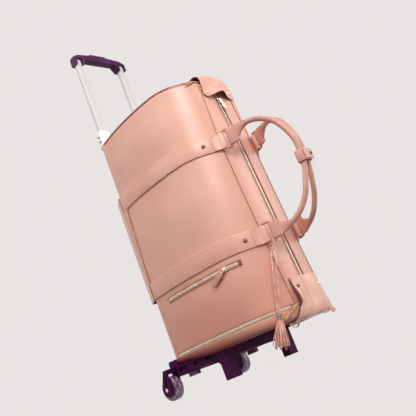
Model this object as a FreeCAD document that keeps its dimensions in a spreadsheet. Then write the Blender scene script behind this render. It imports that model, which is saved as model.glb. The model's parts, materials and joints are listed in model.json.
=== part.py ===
import FreeCAD, Part
import Sketcher
import math
import os

Vector = FreeCAD.Vector
doc = FreeCAD.newDocument("weekender_on_trolley")
dims = doc.addObject("Spreadsheet::Sheet", "dims")

# Driving dimensions in millimetres. Y is counted from the bag's back face, towards
# the front as negative numbers, and Z from the floor.
SIZES = {
    "back_plane": 192.278,      # row Y of the bag's back face
    "bag_low": 80,              # height of the lower end zip
    "bag_length": 500,          # from end zip to end zip
    "bag_width": 246,
    "bag_depth": 300,           # at half height
    "front_taper": 0.036,       # the front leans back by this much per height
    "side_radius": 626,         # gentle bulge of the sides
    "corner_radius": 26,        # two corners at the back
    "shoulder_radius": 85,      # two shoulders at the front
    "leather": 3,
    "end_depth": 16,            # the lower end bulges this far below its zip
    "end_round": 10,
    "lid_depth": 7,             # the upper end is nearly flush with its zip
    "lid_round": 2.5,
    "zip_band": 8,              # width of an end zip with its tapes
    "seam_half": 53,            # front gusset seam from the middle
    "zip_half": 7,              # half of the main zip's slot
    "band_offset": 104.4,       # sewn bands, from the bag's middle
    "band_wide": 36,
    "band_thick": 2.5,
    "air": 0.3,                 # running clearance
    "sleeve_half": 122,         # trolley sleeve, from the bag's middle
    "lid_fold": 30,             # fold of the upper end, in from the back
    "tube_half": 67,            # trolley tubes from the middle
    "tube_back": 13.4,
    "tube_wide": 22,
    "tube_deep": 18,
    "tube_wall": 1.6,
    "tube_foot": 50,
    "tube_top": 604,
    "inner_wide": 17,
    "inner_deep": 13,
    "inner_wall": 1.4,
    "inner_foot": 420,
    "inner_top": 849,
    "collar_top": 640,
    "collar_tall": 42,
    "grip_foot": 834,
    "grip_half": 79,
    "grip_deep": 22,
    "wheel_half": 111,          # wheel centre from the middle
    "wheel_back": 23.5,
    "wheel_radius": 25,
    "wheel_wide": 20,
    "hub_radius": 17,
    "axle_radius": 4,
    "base_top": 64,
    "beam_low": 42,
    "beam_in": 88,
    "beam_out": 104,
    "leg_half": 95.5,
    "leg_wide": 27,
    "leg_front": 150,
    "leg_back": 130,
    "arch_low": 40,
    "web_radius": 24,           # curve between a leg and its beam
    "ring_half": 52,            # carry handle hinge from the middle
    "ring_out": 4.2,            # hinge in front of the bag's face
    "ring_reach": 14,
    "ring_tall": 38,
    "ring_wire": 2,
    "handle_radius": 5.3,
    "handle_reach": 128,
    "handle_lean": 21.3,        # degrees, both handles lean together
    "keeper_low": 320,
    "keeper_tall": 24,
    "keeper_half": 15.8,
    "keeper_skin": 2.6,
    "flap_half": 40,
    "flap_thick": 2.5,
    "flap_gap": 1.4,            # flap in front of the bag's face
    "flap_rise": 9.4,           # upper flap stands off the upper end
    "flap_waist": 6,            # how far its sides draw in
    "flap_sweep": 60,           # radius of that curve
    "crossbar_front": 1,
    "crossbar_back": 31,
    "crossbar_rise": 14,        # above the beams
    "slot_low": 51,
    "slot_high": 59,
    "slot_half": 14,
    "slot_deep": 5,
    "fork_half": 16.5,
    "cheek_thick": 4.5,
    "cheek_radius": 14.5,
    "foot_half": 6,
    "foot_tall": 9,
    "window_wide": 15,          # slot in the front of the grip that shows the tube
    "window_tall": 16,
    "button_half": 25,
    "button_deep": 14,
}
for number, (alias, value) in enumerate(SIZES.items(), start=1):
    dims.set(f"A{number}", alias.replace("_", " "))
    dims.set(f"B{number}", str(value))
    dims.setAlias(f"B{number}", alias)
doc.recompute()

nodes = {}


def size(alias):
    return float(dims.get(alias))


def keep(item, label, y="0"):
    # Registers a finished piece and moves it from the bag's back face to the row's frame.
    item.Label = label
    item.setExpression("Placement.Base.y", f"dims.back_plane + ({y})")
    nodes[label] = item
    return item


def box(name, x, y, z):
    # A block between two limits on each axis, all given as formulas of the sheet.
    item = doc.addObject("Part::Box", name)
    for limits, edge, axis in zip((x, y, z), ("Length", "Width", "Height"), "xyz"):
        item.setExpression(edge, f"({limits[1]}) - ({limits[0]})")
        item.setExpression(f"Placement.Base.{axis}", limits[0])
    return item


def rod(name, axis, radius, length, start):
    # A round bar that starts at a point and runs along one row axis.
    item = doc.addObject("Part::Cylinder", name)
    item.setExpression("Radius", radius)
    item.setExpression("Height", length)
    item.Placement = FreeCAD.Placement(Vector(), FreeCAD.Rotation(Vector(0, 0, 1), Vector(*axis)))
    for value, letter in zip(start, "xyz"):
        item.setExpression(f"Placement.Base.{letter}", value)
    return item


def fuse(name, items):
    item = doc.addObject("Part::MultiFuse", name)
    item.Shapes = items
    item.Refine = True
    return item


def cut(name, base, tools):
    tool = tools[0] if len(tools) == 1 else fuse(name + "_tools", tools)
    item = doc.addObject("Part::Cut", name)
    item.Base = base
    item.Tool = tool
    return item


def common(name, base, tool):
    item = doc.addObject("Part::Common", name)
    item.Base = base
    item.Tool = tool
    return item


def rounded(name, base, radius, picked):
    # Rounds the edges of a block that the test picks.
    doc.recompute()
    item = doc.addObject("Part::Fillet", name)
    item.Base = base
    item.Edges = [(i, radius, radius) for i, e in enumerate(base.Shape.Edges, start=1) if picked(e)]
    return item


def runs_along(edge, axis):
    # True for a straight edge that runs along the given axis.
    if edge.Curve.TypeId != "Part::GeomLine":
        return False
    return abs(edge.Curve.Direction.dot(Vector(*axis))) > 0.999


def solid(name, shape):
    # A shape from Part's own functions, with its place kept inside it.
    item = doc.addObject("Part::Feature", name)
    item.Shape = Part.makeCompound(shape.Solids)
    return item


def origin_plane(body, role):
    return next(f for f in body.Origin.OriginFeatures if f.Role == role)


def polygon_sketch(body, role, corners):
    # A closed outline whose corners are held by formulas of the sheet.
    sketch = body.newObject("Sketcher::SketchObject", body.Name + "_outline")
    sketch.AttachmentSupport = (origin_plane(body, role), "")
    sketch.MapMode = "FlatFace"
    count = len(corners)
    spread = [2 * math.pi * i / count for i in range(count)]
    points = [Vector(50 * math.cos(a), 50 * math.sin(a), 0) for a in spread]
    for i in range(count):
        sketch.addGeometry(Part.LineSegment(points[i], points[(i + 1) % count]), False)
    for i in range(count):
        sketch.addConstraint(Sketcher.Constraint("Coincident", i, 2, (i + 1) % count, 1))
    for i, corner in enumerate(corners):
        for kind, place, formula in zip(("DistanceX", "DistanceY"), (points[i].x, points[i].y), corner):
            index = sketch.addConstraint(Sketcher.Constraint(kind, -1, 1, i, 1, place))
            sketch.setExpression(f"Constraints[{index}]", formula)
    return sketch


def padded_body(name, role, corners, length):
    body = doc.addObject("PartDesign::Body", name)
    sketch = polygon_sketch(body, role, corners)
    pad = body.newObject("PartDesign::Pad", name + "_pad")
    pad.Profile = sketch
    pad.setExpression("Length", length)
    doc.recompute()
    return body


def round_body(body, radius, picked):
    base = body.Tip
    names = [f"Edge{i}" for i, e in enumerate(base.Shape.Edges, start=1) if picked(e)]
    feature = body.newObject("PartDesign::Fillet", f"{body.Name}_round{len(body.Group)}")
    feature.Base = (base, names)
    feature.Radius = radius
    body.Tip = feature
    doc.recompute()


def turned_body(name, corners):
    # A body of revolution about X. Corners are pairs of place along X and radius.
    body = doc.addObject("PartDesign::Body", name)
    sketch = polygon_sketch(body, "XZ_Plane", corners)
    turn = body.newObject("PartDesign::Revolution", name + "_turn")
    turn.Profile = sketch
    turn.ReferenceAxis = (sketch, ["H_Axis"])
    turn.Angle = 360
    doc.recompute()
    return body


# The bag's outline, seen from above

bulge_centre = Vector(size("side_radius") - size("bag_width") / 2, -size("bag_depth") / 2, 0)


def blend_centre(radius, y):
    # Centre of an arc that joins the left side smoothly to the back or front.
    along = math.sqrt((size("side_radius") - radius) ** 2 - (y - bulge_centre.y) ** 2)
    return Vector(bulge_centre.x - along, y, 0)


back_corner = blend_centre(size("corner_radius"), -size("corner_radius"))
middle = size("bag_low") + size("bag_length") / 2


def front_at(z):
    # Place of the bag's front face, which leans back towards the top.
    return -size("bag_depth") - size("front_taper") * (middle - z)


def front_rule(z):
    # The same place as a formula of the sheet.
    return f"-dims.bag_depth - dims.front_taper * (dims.bag_low + dims.bag_length / 2 - {z})"


def shoulder_at(z):
    return blend_centre(size("shoulder_radius"), size("shoulder_radius") + front_at(z))


def outline_wire(inset, z, level):
    # The bag's section for height z, moved inwards by the inset and drawn at a level:
    # flat back and front, bulged sides.
    bulge = size("side_radius")
    mid = bulge_centre
    back = back_corner
    front = shoulder_at(z)
    edges = []
    back_r = size("corner_radius") - inset
    front_r = size("shoulder_radius") - inset
    back_out = (back - mid).normalize()
    front_out = (front - mid).normalize()
    back_end = back + Vector(0, back_r, 0)
    front_end = front - Vector(0, front_r, 0)
    arcs = [
        (back_end, back + (back_out + Vector(0, 1, 0)).normalize() * back_r, back + back_out * back_r),
        (back + back_out * back_r, mid - Vector(bulge - inset, 0, 0), front + front_out * front_r),
        (front + front_out * front_r,
         front + (front_out - Vector(0, 1, 0)).normalize() * front_r, front_end),
    ]
    for side in (1, -1):
        for points in arcs:
            mirrored = [Vector(side * p.x, p.y, level) for p in points]
            edges.append(Part.Arc(*mirrored).toShape())
    for end in (back_end, front_end):
        edges.append(Part.LineSegment(Vector(end.x, end.y, level), Vector(-end.x, end.y, level)).toShape())
    return Part.Wire(Part.sortEdges(edges)[0])


def outline_prism(inset, low, high):
    return Part.makeLoft([outline_wire(inset, low, low), outline_wire(inset, high, high)], True, True)


def straight_prism(inset, low, high):
    face = Part.Face(outline_wire(inset, (low + high) / 2, low))
    return face.extrude(Vector(0, 0, high - low))


def outline_ring(outer, inner, low, high):
    return outline_prism(outer, low, high).cut(outline_prism(inner, low - 1, high + 1))


def region(x, y, z):
    block = Part.makeBox(x[1] - x[0], y[1] - y[0], z[1] - z[0])
    block.translate(Vector(x[0], y[0], z[0]))
    return block


FAR = 400
low_zip = size("bag_low")
high_zip = low_zip + size("bag_length")
half_zip = size("zip_band") / 2
leather = size("leather")
front = -size("bag_depth")
air = size("air")
WHOLE = (-FAR, FAR)
BACK = (-size("corner_radius"), FAR)
FORE = (-2 * FAR, -size("corner_radius"))

# Bag body: two sides, a back and two front gussets around the main zip

shell = solid("bag_shell", outline_ring(0, leather, low_zip + half_zip, high_zip - half_zip))
front_zone = ("-dims.bag_depth - 30", "-dims.bag_depth / 2")
body_zone = ("dims.bag_low", "dims.bag_low + dims.bag_length")
for side, sign in (("left", -1), ("right", 1)):
    seam = f"{sign} * dims.seam_half"
    slot = f"{sign} * dims.zip_half"
    wall = f"{sign} * dims.bag_width"
    x_side = (wall, seam) if sign < 0 else (seam, wall)
    x_strip = (seam, slot) if sign < 0 else (slot, seam)
    zone = box(f"side_zone_{side}", x_side, ("-dims.bag_depth - 30", "-dims.corner_radius"), body_zone)
    keep(common(f"side_{side}", shell, zone), f"side_panel_{side}")
    zone = box(f"gusset_zone_{side}", x_strip, front_zone, body_zone)
    keep(common(f"gusset_{side}_strip", shell, zone), f"gusset_{side}")


def rim_edges(block, level):
    # The edges of a block that lie flat at one height.
    flat = [e for e in block.Edges if all(abs(v.Z - level) < 1e-6 for v in e.Vertexes)]
    return [e for e in flat if abs(e.CenterOfMass.z - level) < 1e-6]


low_face = low_zip - size("end_depth")
high_face = high_zip + size("lid_depth")


def lower_block():
    # The filled shape of the lower end, with a rounded rim.
    block = straight_prism(0, low_face, low_zip - half_zip)
    return block.makeFillet(size("end_round"), rim_edges(block, low_face))


def lower_tray():
    # The lower end: a leather tray with a rounded rim.
    floor = low_face + leather
    hollow = straight_prism(leather, floor, low_zip)
    hollow = hollow.makeFillet(size("end_round") - leather, rim_edges(hollow, floor))
    return lower_block().cut(hollow)


def upper_plate():
    # The upper end: a flat leather plate with a rounded edge.
    plate = straight_prism(0, high_zip + half_zip, high_face)
    return plate.makeFillet(size("lid_round"), rim_edges(plate, high_face))


keep(solid("lower_end", lower_tray()), "lower_end_panel")
fold = -size("lid_fold")
lid = upper_plate().common(region(WHOLE, (-2 * FAR, fold - air), (0, 3 * FAR)))
rim = upper_plate().common(region(WHOLE, (fold, FAR), (0, 3 * FAR)))
keep(solid("upper_end", lid), "upper_end_panel")
back_wall = straight_prism(0, low_zip - half_zip, high_zip + half_zip).cut(
    straight_prism(leather, low_zip - half_zip, high_zip + half_zip)).common(region(WHOLE, BACK, (0, 3 * FAR)))
keep(solid("back", back_wall.fuse(rim).removeSplitter()), "back_panel")

# Zips: a straight one down the front, one round each end, a short one on the left side

zip_slot = (0.1 - size("zip_half"), size("zip_half") - 0.1)
main_chain = outline_ring(-1, 2, low_zip + half_zip, high_zip - half_zip)
keep(solid("main_chain", main_chain.common(region(zip_slot, (2 * front, front / 2), (0, 3 * FAR)))),
     "main_zipper")
for label, level in (("lower_end_zipper", low_zip), ("upper_end_zipper", high_zip)):
    tape = outline_ring(air, leather - air, level - half_zip, level + half_zip)
    keep(solid(label + "_tape", tape.common(region(WHOLE, FORE, (0, 3 * FAR)))), label)

POCKET_Z = 190.6
POCKET_TAPE = 6
pocket_run = (-264, -65)
pocket_tape = outline_ring(-1.4, -0.2, POCKET_Z - POCKET_TAPE, POCKET_Z + POCKET_TAPE)
keep(solid("pocket_tape", pocket_tape.common(region((-FAR, 0), pocket_run, (0, 3 * FAR)))),
     "pocket_zipper")

# Zip sliders with their pulls. The curved ones follow the bag's outline.

SLIDER_LONG = 13
SLIDER_TALL = 11
SLIDER_DEEP = 5


def curved_slider(gap, y, z, zone_x):
    bridge = outline_ring(-gap - SLIDER_DEEP, -gap, z - SLIDER_TALL / 2, z + SLIDER_TALL / 2)
    return bridge.common(region(zone_x, (y - SLIDER_LONG / 2, y + SLIDER_LONG / 2), (0, 3 * FAR)))


def curved_pull(gap, thick, start, wide, length, angle):
    # A flat tab over the side of the bag. Angle 0 hangs down, 90 lies towards the back.
    plate = region((-FAR, 0), (-wide / 2, wide / 2), (-length, 0))
    plate.rotate(Vector(), Vector(1, 0, 0), angle)
    plate.translate(Vector(0, start[0], start[1]))
    return outline_ring(-gap - thick, -gap, 0, 2 * FAR).common(plate)


POCKET_SLIDER_Y = -228
PULL_GAP = 7
keep(solid("pocket_slide", curved_slider(1.8, POCKET_SLIDER_Y, POCKET_Z, (-FAR, 0))), "pocket_slider")
keep(solid("pocket_tab", curved_pull(PULL_GAP, 2, (POCKET_SLIDER_Y, POCKET_Z + 4), 12, 42, 52)),
     "pocket_pull")

LOW_DEEP = 3.6
LOW_GAP = 0.5
LOW_TAB = 1.3


def shoulder_slider(level, bridge_x, tab_x, tab_z):
    # A low slider on the left front shoulder of the bag, with its flat pull.
    def zone(x):
        return region(x, (front - 50, front / 2), (0, 3 * FAR))

    bridge = outline_ring(-LOW_DEEP, -LOW_GAP, level - SLIDER_TALL / 2, level + SLIDER_TALL / 2)
    tab = outline_ring(-LOW_DEEP - LOW_TAB, -LOW_DEEP - air, *tab_z)
    return Part.makeCompound([bridge.common(zone(bridge_x)), tab.common(zone(tab_x))])


upper_slide = shoulder_slider(high_zip, (-66, -53), (-63, -56), (high_zip - 20, high_zip + 3))
keep(solid("upper_slide", upper_slide), "upper_slider")
lower_slide = shoulder_slider(low_zip, (-64, -51), (-86, -55), (low_zip - 9, low_zip + 1))
keep(solid("lower_slide", lower_slide), "lower_slider")

SLIDER_TOP = 541
slide_back = f"({front_rule(SLIDER_TOP - SLIDER_LONG)}) - 1.3"
main_body = box("main_slide", ("-6", "6"), (f"{slide_back} - 5.7", slide_back),
                (f"{SLIDER_TOP - SLIDER_LONG}", f"{SLIDER_TOP}"))
keep(rounded("main_slide_round", main_body, 2, lambda e: runs_along(e, (0, 1, 0))), "main_slider")
main_tab = box("main_tab", ("-4", "4"), (f"{slide_back} - 7.7", f"{slide_back} - 6"),
               (f"{SLIDER_TOP - 36}", f"{SLIDER_TOP - 3}"))
keep(rounded("main_tab_round", main_tab, 3, lambda e: runs_along(e, (0, 1, 0))), "main_pull")

# Leather sleeve on the back that holds the bag to the trolley tubes


def tunnel_face(grow):
    # Outline over the back corners and round the outside of both tubes.
    corner = back_corner
    wrap = Vector(-(size("tube_half") + 9), size("tube_back") + 4.6, 0)
    corner_r = size("corner_radius") + grow
    wrap_r = 7 + grow
    link = wrap - corner
    turn = math.atan2(link.y, link.x) + math.acos((corner_r - wrap_r) / link.Length)
    out = Vector(math.cos(turn), math.sin(turn), 0)
    points = [corner + Vector(-corner_r, 0, 0), corner + out * corner_r, wrap + out * wrap_r]
    bend = (out + Vector(0, 1, 0)).normalize()
    hip = (out + Vector(-1, 0, 0)).normalize()
    edges = []
    for side in (1, -1):
        def flip(p):
            return Vector(side * p.x, p.y, 0)
        top = wrap + Vector(0, wrap_r, 0)
        edges.append(Part.Arc(flip(points[0]), flip(corner + hip * corner_r), flip(points[1])).toShape())
        edges.append(Part.LineSegment(flip(points[1]), flip(points[2])).toShape())
        edges.append(Part.Arc(flip(points[2]), flip(wrap + bend * wrap_r), flip(top)).toShape())
    edges.append(Part.LineSegment(top, Vector(-top.x, top.y, 0)).toShape())
    edges.append(Part.LineSegment(points[0], Vector(-points[0].x, points[0].y, 0)).toShape())
    return Part.Face(Part.Wire(Part.sortEdges(edges)[0]))


sleeve_tall = 2 * size("sleeve_half")
skin = 2.5
band_out = size("band_thick")
tunnel = tunnel_face(band_out + skin + 0.6).extrude(Vector(0, 0, sleeve_tall))
bore = tunnel_face(band_out + 0.6).extrude(Vector(0, 0, sleeve_tall))
tunnel = tunnel.cut(bore)
tunnel.translate(Vector(0, 0, middle - size("sleeve_half")))
keep(solid("sleeve", tunnel), "trolley_sleeve")

# Sewn bands round the bag, each ending in two loops that hold the handle rings

hinge_way = Vector(0, size("front_taper"), 1).normalize()
LOOP_TALL = 26
LOOP_RADIUS = 4.6


def hinge_at(sign, z):
    # A point of one handle's hinge line, which follows the leaning front.
    return Vector(sign * size("ring_half"), front_at(z) - size("ring_out"), z)


def sewn_band(level):
    half = size("band_wide") / 2
    strap = outline_ring(-band_out, -0.2, level - half, level + half)
    gap = region((-size("ring_half"), size("ring_half")), (2 * front, front / 2), (0, 3 * FAR))
    strap = strap.cut(gap)
    bag = outline_prism(-0.2, level - LOOP_TALL, level + LOOP_TALL)
    for sign in (-1, 1):
        centre = hinge_at(sign, level)
        loop = Part.makeCylinder(LOOP_RADIUS, LOOP_TALL, centre - hinge_way * (LOOP_TALL / 2), hinge_way)
        neck = region(sorted((centre.x, centre.x + sign * 9)), (front_at(level) - 4.6, front_at(level) + 8),
                      (level - LOOP_TALL / 2, level + LOOP_TALL / 2))
        strap = strap.fuse(loop).fuse(neck.cut(bag))
    for sign in (-1, 1):
        centre = hinge_at(sign, level) - hinge_way * LOOP_TALL
        strap = strap.cut(Part.makeCylinder(size("ring_wire") + air, 2 * LOOP_TALL, centre, hinge_way))
    return strap


band_levels = {"band_upper": middle + size("band_offset"), "band_lower": middle - size("band_offset")}
for label, level in band_levels.items():
    keep(solid(label + "_strap", sewn_band(level)), label)

# Leather flaps that cover both ends of the main zip

flap_thick = size("flap_thick")
flap_half = size("flap_half")


def flap(face_y, fringe_z, end_z, inner_y):
    # Bent strap: along the front, round the rim and over the end face, with drawn-in sides.
    grow = math.copysign(1, end_z - fringe_z)
    rim_r = size("end_round")

    def section(offset):
        y = face_y - offset
        z = end_z + grow * offset
        knee = rim_r + offset
        return [Vector(0, y, fringe_z), Vector(0, y, z - grow * knee),
                Vector(0, y + knee * (1 - math.sqrt(0.5)), z - grow * knee * (1 - math.sqrt(0.5))),
                Vector(0, y + knee, z), Vector(0, inner_y, z)]

    outer = section(flap_thick)
    inner = section(0)
    edges = []
    for points in (outer, inner):
        edges.append(Part.LineSegment(points[0], points[1]).toShape())
        edges.append(Part.Arc(points[1], points[2], points[3]).toShape())
        edges.append(Part.LineSegment(points[3], points[4]).toShape())
    edges.append(Part.LineSegment(outer[0], inner[0]).toShape())
    edges.append(Part.LineSegment(outer[4], inner[4]).toShape())
    face = Part.Face(Part.Wire(Part.sortEdges(edges)[0]))
    strap = face.extrude(Vector(2 * flap_half, 0, 0))
    strap.translate(Vector(-flap_half, 0, 0))
    sweep = size("flap_sweep")
    for sign in (-1, 1):
        waist = Vector(sign * (flap_half + sweep - size("flap_waist")), 2 * front, (fringe_z + end_z) / 2)
        strap = strap.cut(Part.makeCylinder(sweep, 2 * FAR, waist, Vector(0, 1, 0)))
    return strap


LOWER_FRINGE = 132
UPPER_FRINGE = 547
LOWER_FLAP_END = front + 34
UPPER_FLAP_END = front + 50
low_flap_y = front_at((low_face + low_zip) / 2) - size("flap_gap")
high_flap_y = front_at(UPPER_FRINGE) - size("flap_gap")
keep(solid("flap_low", flap(low_flap_y, LOWER_FRINGE, low_face - air, LOWER_FLAP_END)), "lower_flap")
flap_top = high_face + size("flap_rise")
upper_foot = region((-flap_half / 2, flap_half / 2), (UPPER_FLAP_END - flap_thick, UPPER_FLAP_END),
                    (high_face, flap_top + flap_thick / 2))
upper_strap = flap(high_flap_y, UPPER_FRINGE, flap_top, UPPER_FLAP_END).fuse(upper_foot).removeSplitter()
keep(solid("flap_high", upper_strap), "upper_flap")

# Domed studs, each group on the leather of one body

STUD_RADIUS = 4
STUD_TALL = 2.2


def stud(x, y, z, out=(0, -1, 0)):
    dome = Part.makeCylinder(STUD_RADIUS, STUD_TALL, Vector(x, y, z), Vector(*out))
    rim_edges = [e for e in dome.Edges if e.Curve.TypeId == "Part::GeomCircle"]
    far = max(rim_edges, key=lambda e: e.CenterOfMass.dot(Vector(*out)))
    return dome.makeFillet(1.2, [far])


FLAP_STUD_X = 32
BAND_STUD_TURN = 40
leather_studs = [stud(sign * FLAP_STUD_X, low_flap_y - flap_thick, LOWER_FRINGE - 31) for sign in (-1, 1)]
for level in band_levels.values():
    for sign in (-1, 1):
        turn = math.radians(BAND_STUD_TURN)
        out = Vector(sign * math.sin(turn), -math.cos(turn), 0)
        shoulder = shoulder_at(level)
        base = Vector(-sign * shoulder.x, shoulder.y, 0)
        spot = base + out * (size("shoulder_radius") + band_out + 0.15)
        leather_studs.append(stud(spot.x, spot.y, level, (out.x, out.y, 0)))
keep(solid("studs_fixed", Part.makeCompound(leather_studs)), "leather_studs")
lid_studs = [stud(sign * FLAP_STUD_X, high_flap_y - flap_thick, UPPER_FRINGE + 12) for sign in (-1, 1)]
keep(solid("studs_lid", Part.makeCompound(lid_studs)), "upper_flap_studs")

# Carry handles: leather tubes on metal rings, held together by a wrapped keeper


def rounded_route(points, radii):
    # Straight runs joined by tangent arcs.
    edges = []
    start = points[0]
    for i, radius in enumerate(radii, start=1):
        corner = points[i]
        before = (points[i - 1] - corner).normalize()
        after = (points[i + 1] - corner).normalize()
        half = before.getAngle(after) / 2
        reach = radius / math.tan(half)
        inward = (before + after).normalize()
        middle_point = corner + inward * (radius / math.sin(half) - radius)
        first = corner + before * reach
        last = corner + after * reach
        edges.append(Part.LineSegment(start, first).toShape())
        edges.append(Part.Arc(first, middle_point, last).toShape())
        start = last
    edges.append(Part.LineSegment(start, points[-1]).toShape())
    return Part.Wire(edges)


def round_tube(route, radius):
    start = route.Edges[0].Vertexes[0].Point
    along = route.Edges[0].tangentAt(route.Edges[0].FirstParameter)
    profile = Part.Wire(Part.makeCircle(radius, start, along))
    return route.makePipeShell([profile], True, True)


def metal_loop(points, radius):
    # A closed wire loop of straight bars with round corners.
    loop = None
    for first, second in zip(points, points[1:] + points[:1]):
        bar = Part.makeCylinder(radius, (second - first).Length, first, second - first)
        bar = bar.fuse(Part.makeSphere(radius, first))
        loop = bar if loop is None else loop.fuse(bar)
    return loop.removeSplitter()


reach = size("handle_reach")
TAB_START = size("ring_reach") + size("ring_wire") + 0.2
TAB_END = 56
TAB_HALF = 15
TAB_THICK = 6
high_ring = band_levels["band_upper"]
low_ring = band_levels["band_lower"]


def handle_tab(level, tip):
    # Flat leather end that narrows from the ring to the tube.
    outline = [Vector(-TAB_THICK / 2, -TAB_START, level - TAB_HALF),
               Vector(-TAB_THICK / 2, -TAB_START, level + TAB_HALF),
               Vector(-TAB_THICK / 2, -TAB_END, tip + 5), Vector(-TAB_THICK / 2, -TAB_END, tip - 5)]
    return Part.Face(Part.makePolygon(outline + outline[:1])).extrude(Vector(TAB_THICK, 0, 0))


def lean(shape, sign):
    # Turns a handle shape about its ring axis and moves it to its side of the bag.
    shape.rotate(Vector(), Vector(0, 0, 1), -sign * size("handle_lean"))
    shape.rotate(Vector(0, 0, middle), Vector(1, 0, 0), -math.degrees(math.atan(size("front_taper"))))
    shape.translate(hinge_at(sign, middle) - Vector(0, 0, middle))
    return shape


for side, sign in (("left", -1), ("right", 1)):
    points = [Vector(0, -38, high_ring + 8.8), Vector(0, -reach + 50, high_ring + 12.1),
              Vector(0, -reach + 10, middle + 78), Vector(0, -reach - 3, middle + 10),
              Vector(0, -reach + 24, middle - 72), Vector(0, -reach + 64, low_ring - 6.1),
              Vector(0, -38, low_ring - 4.1)]
    tube = round_tube(rounded_route(points, [55, 70, 110, 90, 45]), size("handle_radius"))
    tube = tube.fuse(handle_tab(high_ring, high_ring + 9.6)).fuse(handle_tab(low_ring, low_ring - 4.6))
    keep(solid(f"handle_{side}_tube", lean(tube, sign)), f"handle_{side}")
    half_tall = size("ring_tall") / 2
    rings = []
    for level in (high_ring, low_ring):
        corners = [Vector(0, 0, level - half_tall), Vector(0, -size("ring_reach"), level - half_tall),
                   Vector(0, -size("ring_reach"), level + half_tall), Vector(0, 0, level + half_tall)]
        rings.append(metal_loop(corners, size("ring_wire")))
    keep(solid(f"rings_{side}", lean(Part.makeCompound(rings), sign)), f"handle_rings_{side}")

apex_y = hinge_at(1, middle).y - reach * math.cos(math.radians(size("handle_lean")))
keeper_low = size("keeper_low")
keeper_high = keeper_low + size("keeper_tall")
keeper_half = size("keeper_half")
keeper_skin = size("keeper_skin")
KEEPER_ROUND = 8.5
keeper_face = apex_y - 7.4
keeper_back = apex_y + 13.2


def oval_block(half, near, far, low, high, corner):
    block = region((-half, half), (near, far), (low, high))
    return block.makeFillet(corner, [e for e in block.Edges if runs_along(e, (0, 0, 1))])


wrap = oval_block(keeper_half, keeper_face, keeper_back, keeper_low, keeper_high, KEEPER_ROUND)
hollow = oval_block(keeper_half - keeper_skin, keeper_face + keeper_skin, keeper_back - keeper_skin,
                    keeper_low - 1, keeper_high + 1, KEEPER_ROUND - keeper_skin)
keep(solid("keeper", wrap.cut(hollow)), "handle_keeper")
keep(solid("keeper_button", stud(0, keeper_face, (keeper_low + keeper_high) / 2)), "keeper_stud")

# Strap rings on both ends and the small pull tab on the lower right

WIRE = 1.7
RING_BAR = 14


def strap_ring(y, z, down):
    # A wire ring with one straight side, hanging from or lying behind its bar.
    bow = Part.makeTorus(RING_BAR, WIRE, Vector(0, 0, 0), Vector(0, 0, 1), 0, 360, 180)
    bar = Part.makeCylinder(WIRE, 2 * RING_BAR, Vector(-RING_BAR, 0, 0), Vector(1, 0, 0))
    ends = [Part.makeSphere(WIRE, Vector(sign * RING_BAR, 0, 0)) for sign in (-1, 1)]
    ring = bow.fuse(bar).fuse(ends[0]).fuse(ends[1])
    if down:
        ring.rotate(Vector(), Vector(1, 0, 0), -90)
    ring.translate(Vector(0, y, z))
    return ring.removeSplitter()


STRAP_HALF = 10
LOOP_DEEP = 4.5
BAR_DROP = 5
low_bar = low_face - BAR_DROP
high_bar = high_face + BAR_DROP
LOW_RING_Y = front + 48
HIGH_RING_Y = front + 66
for label, y, face, bar in (("lower_ring_tab", LOW_RING_Y, low_face, low_bar),
                            ("upper_ring_tab", HIGH_RING_Y, high_face, high_bar)):
    far_z = bar + math.copysign(BAR_DROP - 1, bar - face)
    tab = region((-STRAP_HALF, STRAP_HALF), (y - LOOP_DEEP, y + LOOP_DEEP), sorted((face, far_z)))
    hole = Part.makeCylinder(WIRE + air, 4 * STRAP_HALF, Vector(-2 * STRAP_HALF, y, bar), Vector(1, 0, 0))
    keep(solid(label + "_loop", tab.cut(hole)), label)
keep(solid("ring_low", strap_ring(LOW_RING_Y, low_bar, True)), "lower_strap_ring")
keep(solid("ring_high", strap_ring(HIGH_RING_Y, high_bar, False)), "upper_strap_ring")
end_tab = region((41, 54), (front - 14, front - 2), (54, 66)).cut(lower_block())
end_tab = min(end_tab.Solids, key=lambda piece: piece.CenterOfMass.y)
keep(solid("end_tab", end_tab), "end_zip_tab")

# Charm that hangs beside the lower left ring: thong, strap, cap and tassel

THONG_X = -59.5
THONG_Z = 199
CHARM_Y = front - 17
THONG_RADIUS = 1.6
CHARM_WAY = Vector(-54.0, 25.0, -176.7)     # it leans round the shoulder of the bag
thong = Part.makeCylinder(THONG_RADIUS, 30, Vector(THONG_X, front + 9, THONG_Z), Vector(0, -1, 0))
thong = thong.cut(outline_prism(-0.2, THONG_Z - 20, THONG_Z + 20))
knob = Part.makeSphere(3.2, Vector(THONG_X, CHARM_Y - 6.5, THONG_Z))
keep(solid("thong", thong.fuse(knob)), "charm_thong")
eye = Part.makeTorus(8.4, 1.5, Vector(0, 0, -4.4), Vector(0, 1, 0))
strap = region((-6, 6), (-3, 3), (-128, -11.6))
strap = strap.fuse(eye)
cap = Part.makeCylinder(6.5, 16, Vector(0, 0, -144.2))
cap = cap.makeFillet(2.5, [e for e in cap.Edges if e.CenterOfMass.z > -129])
tassel = Part.makeCone(15, 6.2, 42, Vector(0, 0, -186.4))
for label, shape in (("charm_strap", strap), ("tassel_cap", cap), ("tassel_fringe", tassel)):
    turn = FreeCAD.Rotation(Vector(0, 0, -1), CHARM_WAY)
    shape.rotate(Vector(), turn.Axis, math.degrees(turn.Angle))
    shape.translate(Vector(THONG_X, CHARM_Y, THONG_Z))
    keep(solid(label + "_piece", shape), label)

# Trolley base: crossbar, two slotted beams, an arched leg bar and two wheel brackets

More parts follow.
